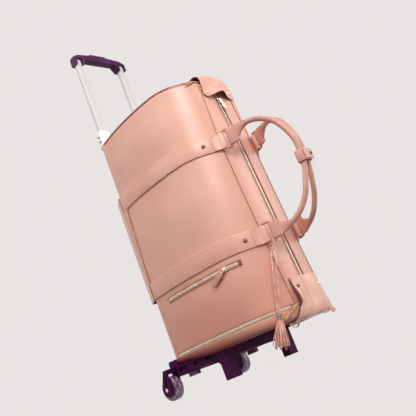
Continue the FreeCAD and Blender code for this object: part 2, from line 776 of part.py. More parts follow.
tube_y = ("dims.tube_back - dims.tube_deep / 2", "dims.tube_back + dims.tube_deep / 2")
bar = box("crossbar", ("-dims.wheel_half + dims.fork_half", "dims.wheel_half - dims.fork_half"),
          ("dims.crossbar_front", "dims.crossbar_back"),
          ("dims.beam_low", "dims.base_top + dims.crossbar_rise"))
bar_round = rounded("crossbar_round", bar, 5, lambda e: runs_along(e, (1, 0, 0)) and e.CenterOfMass.y > 20)
sockets = []
for sign in (-1, 1):
    mid = f"{sign} * dims.tube_half"
    sockets.append(box(f"socket_{sign + 1}", (f"{mid} - dims.tube_wide / 2 - 0.1",
                                              f"{mid} + dims.tube_wide / 2 + 0.1"),
                       (tube_y[0] + " - 0.1", tube_y[1] + " + 0.1"),
                       ("dims.tube_foot", "dims.base_top + 30")))
keep(cut("crossbar_cut", bar_round, sockets), "back_crossbar")

SLOT_PLACES = (-20, -67, -104)


def bracket_lean(x):
    # Block that trims a wheel bracket: its back edge leans forward, off the round foot.
    turn = math.radians(CHEEK_LEAN)
    foot = Vector(x - 40, size("wheel_back"), size("wheel_radius"))
    edge = foot + Vector(0, math.cos(turn), math.sin(turn)) * size("cheek_radius")
    top = edge + Vector(0, -math.sin(turn), math.cos(turn)) * 60
    corners = [edge, top, top + Vector(0, 60, 0), Vector(edge.x, top.y + 60, edge.z)]
    return Part.Face(Part.makePolygon(corners + corners[:1])).extrude(Vector(80, 0, 0))


CHEEK_LEAN = 28.7
for side, sign in (("left", -1), ("right", 1)):
    outer = f"{sign} * dims.beam_out"
    inner = f"{sign} * dims.beam_in"
    x_beam = (outer, inner) if sign < 0 else (inner, outer)
    beam = box(f"beam_{side}", x_beam, ("-dims.leg_back", "dims.crossbar_front"),
               ("dims.beam_low", "dims.base_top"))
    web = box(f"web_{side}", x_beam, ("-dims.leg_back", "-dims.leg_back + dims.web_radius"),
              ("dims.beam_low - dims.web_radius", "dims.beam_low"))
    hollow = rod(f"web_hollow_{side}", (1, 0, 0), "dims.web_radius", "dims.beam_out - dims.beam_in + 4",
                 (f"{x_beam[0]} - 2", "-dims.leg_back + dims.web_radius", "dims.beam_low - dims.web_radius"))
    beam = fuse(f"beam_{side}_webbed", [beam, cut(f"web_{side}_curve", web, [hollow])])
    slots = []
    for number, place in enumerate(SLOT_PLACES):
        floor = f"{outer} - {sign} * dims.slot_deep"
        beyond = f"{outer} + {sign} * dims.slot_deep"
        x_slot = (beyond, floor) if sign < 0 else (floor, beyond)
        slots.append(box(f"slot_{side}_{number}", x_slot,
                         (f"{place} - dims.slot_half", f"{place} + dims.slot_half"),
                         ("dims.slot_low", "dims.slot_high")))
    keep(cut(f"beam_{side}_cut", beam, slots), f"side_beam_{side}")

    cheeks = []
    centre = f"{sign} * dims.wheel_half"
    y_cheek = ("dims.wheel_back - dims.cheek_radius", "dims.wheel_back + dims.cheek_radius")
    x_top = (f"{centre} - dims.fork_half", f"{centre} + dims.fork_half")
    for name, low in (("near", x_top[0]), ("far", f"{x_top[1]} - dims.cheek_thick")):
        plate = box(f"cheek_{name}_{side}", (low, f"{low} + dims.cheek_thick"), y_cheek,
                    ("dims.wheel_radius", "dims.base_top"))
        foot = rod(f"cheek_foot_{name}_{side}", (1, 0, 0), "dims.cheek_radius", "dims.cheek_thick",
                   (low, "dims.wheel_back", "dims.wheel_radius"))
        cheeks += [plate, foot]
    bridge = box(f"bracket_bridge_{side}", x_top, y_cheek, ("dims.base_top - 10", "dims.base_top"))
    whole = fuse(f"bracket_{side}_whole", cheeks + [bridge])
    bore = rod(f"bracket_bore_{side}", (1, 0, 0), "dims.axle_radius + 0.05", "3 * dims.fork_half",
               (f"{centre} - 1.5 * dims.fork_half", "dims.wheel_back", "dims.wheel_radius"))
    lean_cut = solid(f"bracket_lean_{side}", bracket_lean(sign * size("wheel_half")))
    keep(cut(f"bracket_{side}", whole, [bore, lean_cut]), f"wheel_bracket_{side}")

    tyre = turned_body(f"tyre_{side}", [("-dims.wheel_wide / 2", "dims.hub_radius"),
                                        ("dims.wheel_wide / 2", "dims.hub_radius"),
                                        ("dims.wheel_wide / 2", "dims.wheel_radius - 2"),
                                        ("dims.wheel_wide / 2 - 3", "dims.wheel_radius"),
                                        ("-dims.wheel_wide / 2 + 3", "dims.wheel_radius"),
                                        ("-dims.wheel_wide / 2", "dims.wheel_radius - 2")])
    hub = turned_body(f"hub_{side}", [("-dims.wheel_wide / 2 - 1", "dims.axle_radius + 0.05"),
                                      ("dims.wheel_wide / 2 + 1", "dims.axle_radius + 0.05"),
                                      ("dims.wheel_wide / 2 + 1", "dims.axle_radius + 4"),
                                      ("dims.wheel_wide / 2 - 2", "dims.axle_radius + 4"),
                                      ("dims.wheel_wide / 2 - 2", "dims.hub_radius"),
                                      ("-dims.wheel_wide / 2 + 2", "dims.hub_radius"),
                                      ("-dims.wheel_wide / 2 + 2", "dims.axle_radius + 4"),
                                      ("-dims.wheel_wide / 2 - 1", "dims.axle_radius + 4")])
    for label, piece in ((f"wheel_tyre_{side}", tyre), (f"wheel_hub_{side}", hub)):
        piece.setExpression("Placement.Base.x", centre)
        piece.setExpression("Placement.Base.z", "dims.wheel_radius")
        keep(piece, label, "dims.wheel_back")

axles = []
for sign in (-1, 1):
    centre = f"{sign} * dims.wheel_half"
    axles.append(rod(f"axle_{sign + 1}", (1, 0, 0), "dims.axle_radius", "2 * dims.fork_half",
                     (f"{centre} - dims.fork_half", "dims.wheel_back", "dims.wheel_radius")))
axle_pair = doc.addObject("Part::Compound", "axle_pair")
axle_pair.Links = axles
keep(axle_pair, "wheel_axles")

leg_out = "dims.leg_half + dims.leg_wide / 2"
leg_in = "dims.leg_half - dims.leg_wide / 2"
legs = padded_body("leg_bar", "XZ_Plane",
                   [(f"-({leg_out})", "0"), (f"-({leg_in})", "0"), (f"-({leg_in})", "dims.arch_low"),
                    (leg_in, "dims.arch_low"), (leg_in, "0"), (leg_out, "0"),
                    (leg_out, "dims.base_top"), (f"-({leg_out})", "dims.base_top")],
                   "dims.leg_front - dims.leg_back")
arch_z = size("arch_low")
round_body(legs, 16, lambda e: runs_along(e, (0, 1, 0)) and abs(e.CenterOfMass.z - arch_z) < 0.01)
base_z = size("base_top")
round_body(legs, 6, lambda e: runs_along(e, (0, 1, 0)) and abs(e.CenterOfMass.z - base_z) < 0.01)
keep(legs, "front_leg_bar", "-dims.leg_back")

FOOT_PLACE = ("-52", "-26")
feet = []
for sign in (-1, 1):
    centre = f"{sign} * (dims.beam_in + dims.beam_out) / 2"
    feet.append(box(f"foot_{sign + 1}", (f"{centre} - dims.foot_half", f"{centre} + dims.foot_half"),
                    FOOT_PLACE, ("dims.beam_low - dims.foot_tall", "dims.beam_low")))
foot_pair = doc.addObject("Part::Compound", "foot_pair")
foot_pair.Links = feet
keep(foot_pair, "rubber_feet")

# Telescopic handle: fixed outer tubes with collars, sliding inner tubes with the grip


def tube_block(name, sign, wide, deep, low, high, corner):
    # An upright block with rounded corners, centred on one tube.
    mid = f"{sign} * dims.tube_half"
    block = box(name + "_block", (f"{mid} - ({wide}) / 2", f"{mid} + ({wide}) / 2"),
                (f"dims.tube_back - ({deep}) / 2", f"dims.tube_back + ({deep}) / 2"), (low, high))
    return rounded(name, block, corner, lambda e: runs_along(e, (0, 0, 1)))


TUBE_CORNER = 6
wide_wall = "dims.tube_wide - 2 * dims.tube_wall"
deep_wall = "dims.tube_deep - 2 * dims.tube_wall"
collars = []
screws = []
for side, sign in (("left", -1), ("right", 1)):
    outside = tube_block(f"outer_{side}", sign, "dims.tube_wide", "dims.tube_deep", "dims.tube_foot",
                         "dims.tube_top", TUBE_CORNER)
    inside = tube_block(f"outer_bore_{side}", sign, wide_wall, deep_wall, "dims.tube_foot + 2",
                        "dims.tube_top + 2", TUBE_CORNER - 1.6)
    keep(cut(f"outer_cut_{side}", outside, [inside]), f"outer_tube_{side}")
    outside = tube_block(f"inner_{side}", sign, "dims.inner_wide", "dims.inner_deep", "dims.inner_foot",
                         "dims.inner_top", TUBE_CORNER - 2)
    inside = tube_block(f"inner_bore_{side}", sign, "dims.inner_wide - 2 * dims.inner_wall",
                        "dims.inner_deep - 2 * dims.inner_wall", "dims.inner_foot - 2",
                        "dims.inner_top + 2", TUBE_CORNER - 3.4)
    keep(cut(f"inner_cut_{side}", outside, [inside]), f"inner_tube_{side}")
    shell_block = tube_block(f"collar_{side}", sign, "dims.tube_wide + 8", "dims.tube_deep + 6",
                             "dims.collar_top - dims.collar_tall", "dims.collar_top", TUBE_CORNER + 2)
    seat = tube_block(f"collar_seat_{side}", sign, "dims.tube_wide + 0.2", "dims.tube_deep + 0.2",
                      "dims.collar_top - dims.collar_tall - 2", "dims.tube_top", TUBE_CORNER)
    guide = tube_block(f"collar_guide_{side}", sign, "dims.inner_wide + 0.6", "dims.inner_deep + 0.6",
                       "dims.collar_top - dims.collar_tall - 2", "dims.collar_top + 2", TUBE_CORNER - 2)
    collars.append(cut(f"collar_cut_{side}", shell_block, [seat, guide]))
    face = f"{sign} * (dims.tube_half + dims.tube_wide / 2 + 4)"
    start = face if sign > 0 else f"{face} - 1.2"
    for number, drop in enumerate((14, 26)):
        screws.append(rod(f"screw_{side}_{number}", (1, 0, 0), "2.4", "1.2",
                          (start, "dims.tube_back", f"dims.collar_top - {drop}")))
for label, items in (("tube_collars", collars), ("collar_screws", screws)):
    group = doc.addObject("Part::Compound", label + "_set")
    group.Links = items
    keep(group, label)

grip = padded_body("grip", "XZ_Plane",
                   [("-dims.grip_half", "dims.grip_foot"), ("-dims.tube_half + 12", "dims.grip_foot"),
                    ("-dims.tube_half + 20", "dims.grip_foot + 14"),
                    ("dims.tube_half - 20", "dims.grip_foot + 14"),
                    ("dims.tube_half - 12", "dims.grip_foot"), ("dims.grip_half", "dims.grip_foot"),
                    ("dims.grip_half", "dims.grip_foot + 23"),
                    ("dims.grip_half - 13", "dims.grip_foot + 29.5"), ("0", "dims.grip_foot + 35.5"),
                    ("-dims.grip_half + 13", "dims.grip_foot + 29.5"),
                    ("-dims.grip_half", "dims.grip_foot + 23")],
                   "dims.grip_deep")
grip_z = size("grip_foot")
round_body(grip, 5.5, lambda e: e.Curve.TypeId == "Part::GeomLine" and not runs_along(e, (0, 1, 0))
           and e.CenterOfMass.z > grip_z + 13)
grip.setExpression("Placement.Base.y", "dims.tube_back + dims.grip_deep / 2")
holes = []
for sign in (-1, 1):
    holes.append(tube_block(f"grip_socket_{sign + 1}", sign, "dims.inner_wide + 0.1",
                            "dims.inner_deep + 0.1", "dims.grip_foot - 2", "dims.inner_top", TUBE_CORNER - 2))
    mid = f"{sign} * dims.tube_half"
    holes.append(box(f"grip_slot_{sign + 1}", (f"{mid} - dims.window_wide / 2", f"{mid} + dims.window_wide / 2"),
                     ("dims.tube_back - dims.grip_deep", "dims.tube_back"),
                     ("dims.grip_foot - 2", "dims.grip_foot + dims.window_tall")))
holes.append(box("grip_channel", ("-dims.tube_half - 5", "dims.tube_half + 5"),
                 ("dims.tube_back - 4.5", "dims.tube_back + 4.5"),
                 ("dims.grip_foot + 15", "dims.grip_foot + 25")))
holes.append(box("grip_window", ("-dims.button_half - 0.4", "dims.button_half + 0.4"),
                 ("dims.tube_back - dims.button_deep / 2 - 0.4", "dims.tube_back + dims.button_deep / 2 + 0.4"),
                 ("dims.grip_foot + 20", "dims.grip_foot + 50")))
keep(cut("grip_cut", grip, holes), "pull_grip")

button = box("button", ("-dims.button_half", "dims.button_half"),
             ("dims.tube_back - dims.button_deep / 2", "dims.tube_back + dims.button_deep / 2"),
             ("dims.grip_foot + 24", "dims.grip_foot + 37.5"))
keep(rounded("button_round", button, 1.5, lambda e: e.CenterOfMass.z > grip_z + 37.4), "release_button")
yoke = box("yoke", ("-dims.tube_half - 3", "dims.tube_half + 3"),
           ("dims.tube_back - 3", "dims.tube_back + 3"), ("dims.grip_foot + 19.5", "dims.grip_foot + 24"))
rods = [yoke]
for sign in (-1, 1):
    rods.append(rod(f"lock_rod_{sign + 1}", (0, 0, 1), "2.5", "dims.grip_foot + 21 - dims.inner_foot - 20",
                    (f"{sign} * dims.tube_half", "dims.tube_back", "dims.inner_foot + 20")))
keep(fuse("lock_rod_set", rods), "lock_rods")

# Check every object, then write one file for each piece

doc.recompute()
broken = [item.Name for item in doc.Objects if {"Invalid", "Error"} & set(item.State)]
if broken:
    raise RuntimeError("failed objects: " + ", ".join(broken))
os.makedirs("parts", exist_ok=True)
whole_box = FreeCAD.BoundBox()
for label, item in nodes.items():
    if item.Shape.isNull() or not item.Shape.isValid():
        raise RuntimeError("bad shape: " + label)
    whole_box.add(item.Shape.optimalBoundingBox(False, False))
for label, item in nodes.items():
    item.Shape.exportStep(os.path.join("parts", label + ".step"))
print(len(nodes), "pieces")
print("depth middle", round((whole_box.YMin + whole_box.YMax) / 2, 3))
print("size", round(whole_box.XLength, 1), round(whole_box.YLength, 1), round(whole_box.ZLength, 1))
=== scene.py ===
import json
import math
import random

import bmesh
import bpy
import numpy as np
from mathutils import Matrix, Vector


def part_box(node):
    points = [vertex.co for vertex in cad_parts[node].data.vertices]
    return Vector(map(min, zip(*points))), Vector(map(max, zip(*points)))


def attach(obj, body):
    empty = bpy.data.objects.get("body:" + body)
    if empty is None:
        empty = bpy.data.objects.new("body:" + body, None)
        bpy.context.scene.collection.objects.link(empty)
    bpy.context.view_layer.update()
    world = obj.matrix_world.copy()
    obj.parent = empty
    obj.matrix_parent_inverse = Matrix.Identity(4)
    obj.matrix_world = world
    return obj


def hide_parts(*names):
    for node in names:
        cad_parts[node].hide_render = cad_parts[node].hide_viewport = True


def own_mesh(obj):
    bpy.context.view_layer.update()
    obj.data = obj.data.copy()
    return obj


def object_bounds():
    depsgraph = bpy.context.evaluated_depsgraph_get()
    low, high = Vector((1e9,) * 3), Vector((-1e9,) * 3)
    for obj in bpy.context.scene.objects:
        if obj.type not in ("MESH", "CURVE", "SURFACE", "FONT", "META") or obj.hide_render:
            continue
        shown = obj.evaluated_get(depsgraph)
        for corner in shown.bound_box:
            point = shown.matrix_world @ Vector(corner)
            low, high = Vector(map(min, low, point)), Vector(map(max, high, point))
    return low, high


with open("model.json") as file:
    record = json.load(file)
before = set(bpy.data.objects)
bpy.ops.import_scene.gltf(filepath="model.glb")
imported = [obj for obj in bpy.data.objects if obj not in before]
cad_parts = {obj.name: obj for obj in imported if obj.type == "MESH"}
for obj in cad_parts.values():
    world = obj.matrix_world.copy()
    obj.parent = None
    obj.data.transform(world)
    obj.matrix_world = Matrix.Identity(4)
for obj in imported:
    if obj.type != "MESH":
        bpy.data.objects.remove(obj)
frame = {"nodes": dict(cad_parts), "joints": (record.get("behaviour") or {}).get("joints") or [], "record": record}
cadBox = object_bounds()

nodes = frame["nodes"]
joints = {joint["name"]: joint for joint in frame["joints"]}
slotOf = {part["node"]: part["material_slot"] for part in frame["record"]["subparts"]}
random.seed(7)

# Small helpers for arrays and meshes


def smooth(value):  # 0 to 1 with soft ends
    t = np.clip(value, 0, 1)
    return t * t * (3 - 2 * t)


def bell(value, middle, width):
    return np.exp(-(((value - middle) / width) ** 2))


def unit(vector):
    vector = np.asarray(vector, float)
    return vector / np.linalg.norm(vector, axis=-1, keepdims=True)


def runAlong(points):  # distance covered at each point of a path
    return np.concatenate([[0], np.cumsum(np.linalg.norm(np.diff(points, axis=0), axis=1))])


def valueAt(at, run, values):  # a path's points, or its normals, at distances along it
    return np.stack([np.interp(at, run, values[:, k]) for k in range(values.shape[1])], axis=-1)


def curveThrough(points, count):  # an even, smooth run through a few points
    points = np.asarray(points, float)
    padded = np.vstack([2 * points[0] - points[1], points, 2 * points[-1] - points[-2]])
    fine = []
    for i in range(1, len(padded) - 2):
        a, b, c, d = padded[i - 1:i + 3]
        for t in np.linspace(0, 1, 24, endpoint=False):
            fine.append(0.5 * (2 * b + (c - a) * t + (2 * a - 5 * b + 4 * c - d) * t ** 2
                               + (3 * b - a - 3 * c + d) * t ** 3))
    fine.append(points[-1])
    fine = np.array(fine)
    run = runAlong(fine)
    return valueAt(np.linspace(0, run[-1], count), run, fine)


def gather(shapes):  # several loose shapes as one
    points, faces, marks = [], [], []
    for shapePoints, shapeFaces, shapeMarks in shapes:
        base = len(points)
        points.extend(np.asarray(shapePoints, float).tolist())
        faces.extend(tuple(base + i for i in face) for face in shapeFaces)
        marks.extend(shapeMarks)
    return points, faces, marks


def remark(shape, mark):
    return shape[0], shape[1], [mark] * len(shape[1])


def loft(rings, caps=True, mark=0, ringMarks=None):
    rings = np.asarray(rings, float)
    count, around = rings.shape[:2]
    points = rings.reshape(-1, 3).tolist()
    faces, marks = [], []
    for i in range(count - 1):
        for j in range(around):
            k = (j + 1) % around
            faces.append((i * around + j, i * around + k, (i + 1) * around + k, (i + 1) * around + j))
            marks.append(mark if ringMarks is None else ringMarks[j])
    if caps:
        faces.append(tuple(range(around))[::-1])
        faces.append(tuple((count - 1) * around + j for j in range(around)))
        marks += [mark, mark]
    return points, faces, marks


def slabGrid(outer, inner, outerMark=0, innerMark=1, rimMark=0):  # two sheets joined round their edge
    rows, columns = outer.shape[:2]
    points = np.concatenate([outer.reshape(-1, 3), inner.reshape(-1, 3)])
    under = rows * columns
    faces, marks = [], []
    for i in range(rows - 1):
        for j in range(columns - 1):
            a, b = i * columns + j, (i + 1) * columns + j
            faces.append((a, b, b + 1, a + 1))
            faces.append((under + a, under + a + 1, under + b + 1, under + b))
            marks += [outerMark, innerMark]
    rim = [j for j in range(columns)] + [i * columns + columns - 1 for i in range(1, rows)]
    rim += [(rows - 1) * columns + j for j in range(columns - 2, -1, -1)]
    rim += [i * columns for i in range(rows - 2, 0, -1)]
    for a, b in zip(rim, rim[1:] + rim[:1]):
        faces.append((a, b, under + b, under + a))
        marks.append(rimMark)
    return points, faces, marks


def sweep(path, section, hint, scale=None, closed=False):  # a section carried along a path
    path = np.asarray(path, float)
    if closed:
        tangent = unit(np.roll(path, -1, axis=0) - np.roll(path, 1, axis=0))
    else:
        tangent = unit(np.gradient(path, axis=0))
    hints = np.broadcast_to(np.asarray(hint, float), path.shape)
    normal = unit(hints - tangent * np.sum(hints * tangent, axis=1, keepdims=True))
    side = np.cross(tangent, normal)
    section = np.asarray(section, float)
    size = np.ones(len(path)) if scale is None else np.asarray(scale, float)
    rings = (path[:, None, :] + side[:, None, :] * section[None, :, :1] * size[:, None, None]
             + normal[:, None, :] * section[None, :, 1:] * size[:, None, None])
    if closed:
        rings = np.concatenate([rings, rings[:1]])
    return loft(rings, caps=not closed)


def stations(*ends):  # shares across a strap, and its size there, with both ends softened alike
    return [(-share, size) for share, size in ends] + list(reversed(ends))


def rounded(width, height, corner, steps=3):  # a rectangle with round corners, as a section
    corner = min(corner, width / 2 - 1e-6, height / 2 - 1e-6)
    points = []
    for sx, sy, start in ((1, 1, 0), (-1, 1, 90), (-1, -1, 180), (1, -1, 270)):
        for turn in np.linspace(start, start + 90, steps + 1):
            angle = math.radians(turn)
            points.append((sx * (width / 2 - corner) + corner * math.cos(angle),
                           sy * (height / 2 - corner) + corner * math.sin(angle)))
    return np.array(points)


def circle(radius, count=12):
    turn = np.linspace(0, 2 * math.pi, count, endpoint=False)
    return np.stack([radius * np.cos(turn), radius * np.sin(turn)], axis=1)


def turned(profile, place, axis, count=24, mark=0):  # profile of (along, radius) spun round an axis
    axis = unit(axis)
    first = unit(np.cross(axis, (0.31, 0.2, 0.93) if abs(axis[2]) < 0.9 else (1.0, 0, 0)))
    second = np.cross(axis, first)
    ring = circle(1, count)
    rings = [np.asarray(place) + axis * along + radius * (ring[:, :1] * first + ring[:, 1:] * second)
             for along, radius in profile]
    return loft(rings, mark=mark)


def plate(outline, low, high, bevel, place, xDir, yDir):  # a flat shape with bevelled edges
    outline = np.asarray(outline, float)
    after = np.roll(outline, -1, axis=0)
    ahead = after - outline
    ahead = ahead / np.maximum(np.linalg.norm(ahead, axis=1, keepdims=True), 1e-9)
    normal = np.stack([ahead[:, 1], -ahead[:, 0]], axis=1)
    corner = normal + np.roll(normal, 1, axis=0)
    corner = corner / np.maximum(np.linalg.norm(corner, axis=1, keepdims=True), 1e-9)
    area = np.sum(outline[:, 0] * after[:, 1] - after[:, 0] * outline[:, 1])
    inset = outline - corner * bevel * (1 if area > 0 else -1)
    xDir, yDir = unit(xDir), unit(yDir)
    zDir = np.cross(xDir, yDir)
    levels = ((inset, low), (outline, low + bevel), (outline, high - bevel), (inset, high))
    rings = [np.asarray(place) + flat[:, :1] * xDir + flat[:, 1:] * yDir + zDir * level
             for flat, level in levels]
    return loft(rings)


meshLook = {"weld": 2e-6, "crease": 42}  # merge distance, and the angle that stays sharp


def addPiece(name, shape, finishNames, body, stands=()):
    points, faces, marks = shape
    mesh = bpy.data.meshes.new(name)
    mesh.from_pydata([tuple(p) for p in np.asarray(points, float)], [], faces)
    for finish in [finishNames] if isinstance(finishNames, str) else finishNames:
        mesh.materials.append(finishes[finish])
    mesh.polygons.foreach_set("material_index", np.asarray(marks, dtype=np.int32))
    work = bmesh.new()
    work.from_mesh(mesh)
    bmesh.ops.remove_doubles(work, verts=work.verts, dist=meshLook["weld"])
    bmesh.ops.recalc_face_normals(work, faces=work.faces)
    work.to_mesh(mesh)
    work.free()
    mesh.polygons.foreach_set("use_smooth", np.ones(len(mesh.polygons), dtype=bool))
    mesh.set_sharp_from_angle(angle=math.radians(meshLook["crease"]))
    piece = bpy.data.objects.new(name, mesh)
    bpy.context.scene.collection.objects.link(piece)
    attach(piece, body)
    if stands:
        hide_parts(*stands)
    return piece


# Helpers for the shader nodes


def tone(red, green, blue):  # 0 to 255 as seen on a screen, turned into shader values
    values = [v / 255 for v in (red, green, blue)]
    return tuple(v / 12.92 if v < 0.04045 else ((v + 0.055) / 1.055) ** 2.4 for v in values) + (1.0,)


def startFinish(name):
    finish = bpy.data.materials.new(name)
    finish.use_nodes = True
    return finish, finish.node_tree, finish.node_tree.nodes["Principled BSDF"]


def linkCoords(tree, stretch=(1, 1, 1)):
    coords = tree.nodes.new("ShaderNodeTexCoord")
    mapping = tree.nodes.new("ShaderNodeMapping")
    mapping.inputs["Scale"].default_value = stretch
    tree.links.new(coords.outputs["Object"], mapping.inputs["Vector"])
    return mapping.outputs["Vector"]


def linkNoise(tree, scale, detail=3.0, stretch=(1, 1, 1)):
    noise = tree.nodes.new("ShaderNodeTexNoise")
    noise.inputs["Scale"].default_value = scale
    noise.inputs["Detail"].default_value = detail
    tree.links.new(linkCoords(tree, stretch), noise.inputs["Vector"])
    return noise.outputs[0]


def linkCells(tree, scale):
    cells = tree.nodes.new("ShaderNodeTexVoronoi")
    cells.feature = "SMOOTH_F1"
    cells.inputs["Scale"].default_value = scale
    tree.links.new(linkCoords(tree), cells.inputs["Vector"])
    return cells.outputs["Distance"]


def linkRamp(tree, value, stops):
    ramp = tree.nodes.new("ShaderNodeValToRGB")
    elements = ramp.color_ramp.elements
    while len(elements) < len(stops):
        elements.new(0.5)
    for element, (position, colour) in zip(elements, stops):
        element.position = position
        element.color = colour
    tree.links.new(value, ramp.inputs["Fac"])
    return ramp.outputs["Color"]


def linkRange(tree, value, low, high, fromLow=0.0, fromHigh=1.0):
    spread = tree.nodes.new("ShaderNodeMapRange")
    spread.inputs["From Min"].default_value = fromLow
    spread.inputs["From Max"].default_value = fromHigh
    spread.inputs["To Min"].default_value = low
    spread.inputs["To Max"].default_value = high
    tree.links.new(value, spread.inputs["Value"])
    return spread.outputs["Result"]


def linkBumps(tree, shader, heights):  # each is (height, strength, distance)
    normal = None
    for height, strength, distance in heights:
        bump = tree.nodes.new("ShaderNodeBump")
        bump.inputs["Strength"].default_value = strength
        bump.inputs["Distance"].default_value = distance
        tree.links.new(height, bump.inputs["Height"])
        if normal is not None:
            tree.links.new(normal, bump.inputs["Normal"])
        normal = bump.outputs["Normal"]
    tree.links.new(normal, shader.inputs["Normal"])


def linkLevel(tree, colour, level):  # turns to another tone below a level
    height = tree.nodes.new("ShaderNodeVectorMath")
    height.operation = "DOT_PRODUCT"
    height.inputs[1].default_value = level["way"]
    tree.links.new(linkCoords(tree), height.inputs[0])
    mix = tree.nodes.new("ShaderNodeMix")
    mix.data_type = "RGBA"
    mix.inputs[7].default_value = tone(*level["tone"])
    tree.links.new(linkRange(tree, height.outputs["Value"], 1.0, 0.0, *level["span"]), mix.inputs[0])
    tree.links.new(colour, mix.inputs[6])
    return mix.outputs[2]


def leatherFinish(name, look):
    finish, tree, shader = startFinish(name)
    low, mid, high = (tone(*t) for t in look["tones"])
    cloud = linkNoise(tree, look["cloud"], 4.0)
    colour = linkRamp(tree, cloud, ((0.32, low), (0.5, mid), (0.68, high)))
    if "level" in look:
        colour = linkLevel(tree, colour, look["level"])
    tree.links.new(colour, shader.inputs["Base Color"])
    rough = linkRange(tree, linkNoise(tree, 60, 3.0), *look["rough"], 0.3, 0.7)
    tree.links.new(rough, shader.inputs["Roughness"])
    shader.inputs["Specular IOR Level"].default_value = look.get("shine", 0.5)
    shader.inputs["Coat Weight"].default_value = look["coat"]
    shader.inputs["Coat Roughness"].default_value = 0.38
    linkBumps(tree, shader, ((linkNoise(tree, 38, 3.0), look["soft"], 0.004),
                             (linkCells(tree, look["grain"]), look["pebble"], 0.0005)))
    return finish


def metalFinish(name, look):
    finish, tree, shader = startFinish(name)
    low, high = (tone(*t) for t in look["tones"])
    brush = look.get("brush", (1, 1, 1))
    cloud = linkNoise(tree, 90, 3.0, brush)
    colour = linkRamp(tree, cloud, ((0.3, low), (0.7, high)))
    if "level" in look:
        colour = linkLevel(tree, colour, look["level"])
    tree.links.new(colour, shader.inputs["Base Color"])
    shader.inputs["Metallic"].default_value = look.get("metal", 1.0)
    tree.links.new(linkRange(tree, cloud, *look["rough"], 0.3, 0.7), shader.inputs["Roughness"])
    linkBumps(tree, shader, ((linkNoise(tree, 420, 2.0, brush), 0.04, 0.0004),))
    return finish


def plasticFinish(name, look):
    finish, tree, shader = startFinish(name)
    low, high = (tone(*t) for t in look["tones"])
    cloud = linkNoise(tree, look.get("cloud", 26), 3.0)
    tree.links.new(linkRamp(tree, cloud, ((0.34, low), (0.66, high))), shader.inputs["Base Color"])
    rough = linkRange(tree, linkNoise(tree, 140, 2.0), *look["rough"], 0.3, 0.7)
    tree.links.new(rough, shader.inputs["Roughness"])
    shader.inputs["Specular IOR Level"].default_value = look["shine"]
    shader.inputs["Coat Weight"].default_value = look.get("coat", 0.0)
    shader.inputs["Coat Roughness"].default_value = 0.2
    shader.inputs["Transmission Weight"].default_value = look.get("clear", 0.0)
    linkBumps(tree, shader, ((linkNoise(tree, 900, 2.0), look["pebble"], 0.0005),))
    return finish


def clothFinish(name, look):
    finish, tree, shader = startFinish(name)
    low, high = (tone(*t) for t in look["tones"])
    weave = tree.nodes.new("ShaderNodeTexWave")
    weave.inputs["Scale"].default_value = look["weave"]
    weave.inputs["Distortion"].default_value = 1.5
    tree.links.new(linkCoords(tree), weave.inputs["Vector"])
    colour = linkRamp(tree, weave.outputs[1], ((0.2, low), (0.8, high)))
    tree.links.new(colour, shader.inputs["Base Color"])
    shader.inputs["Roughness"].default_value = 0.8
    linkBumps(tree, shader, ((weave.outputs[1], 0.3, 0.0006),))
    return finish


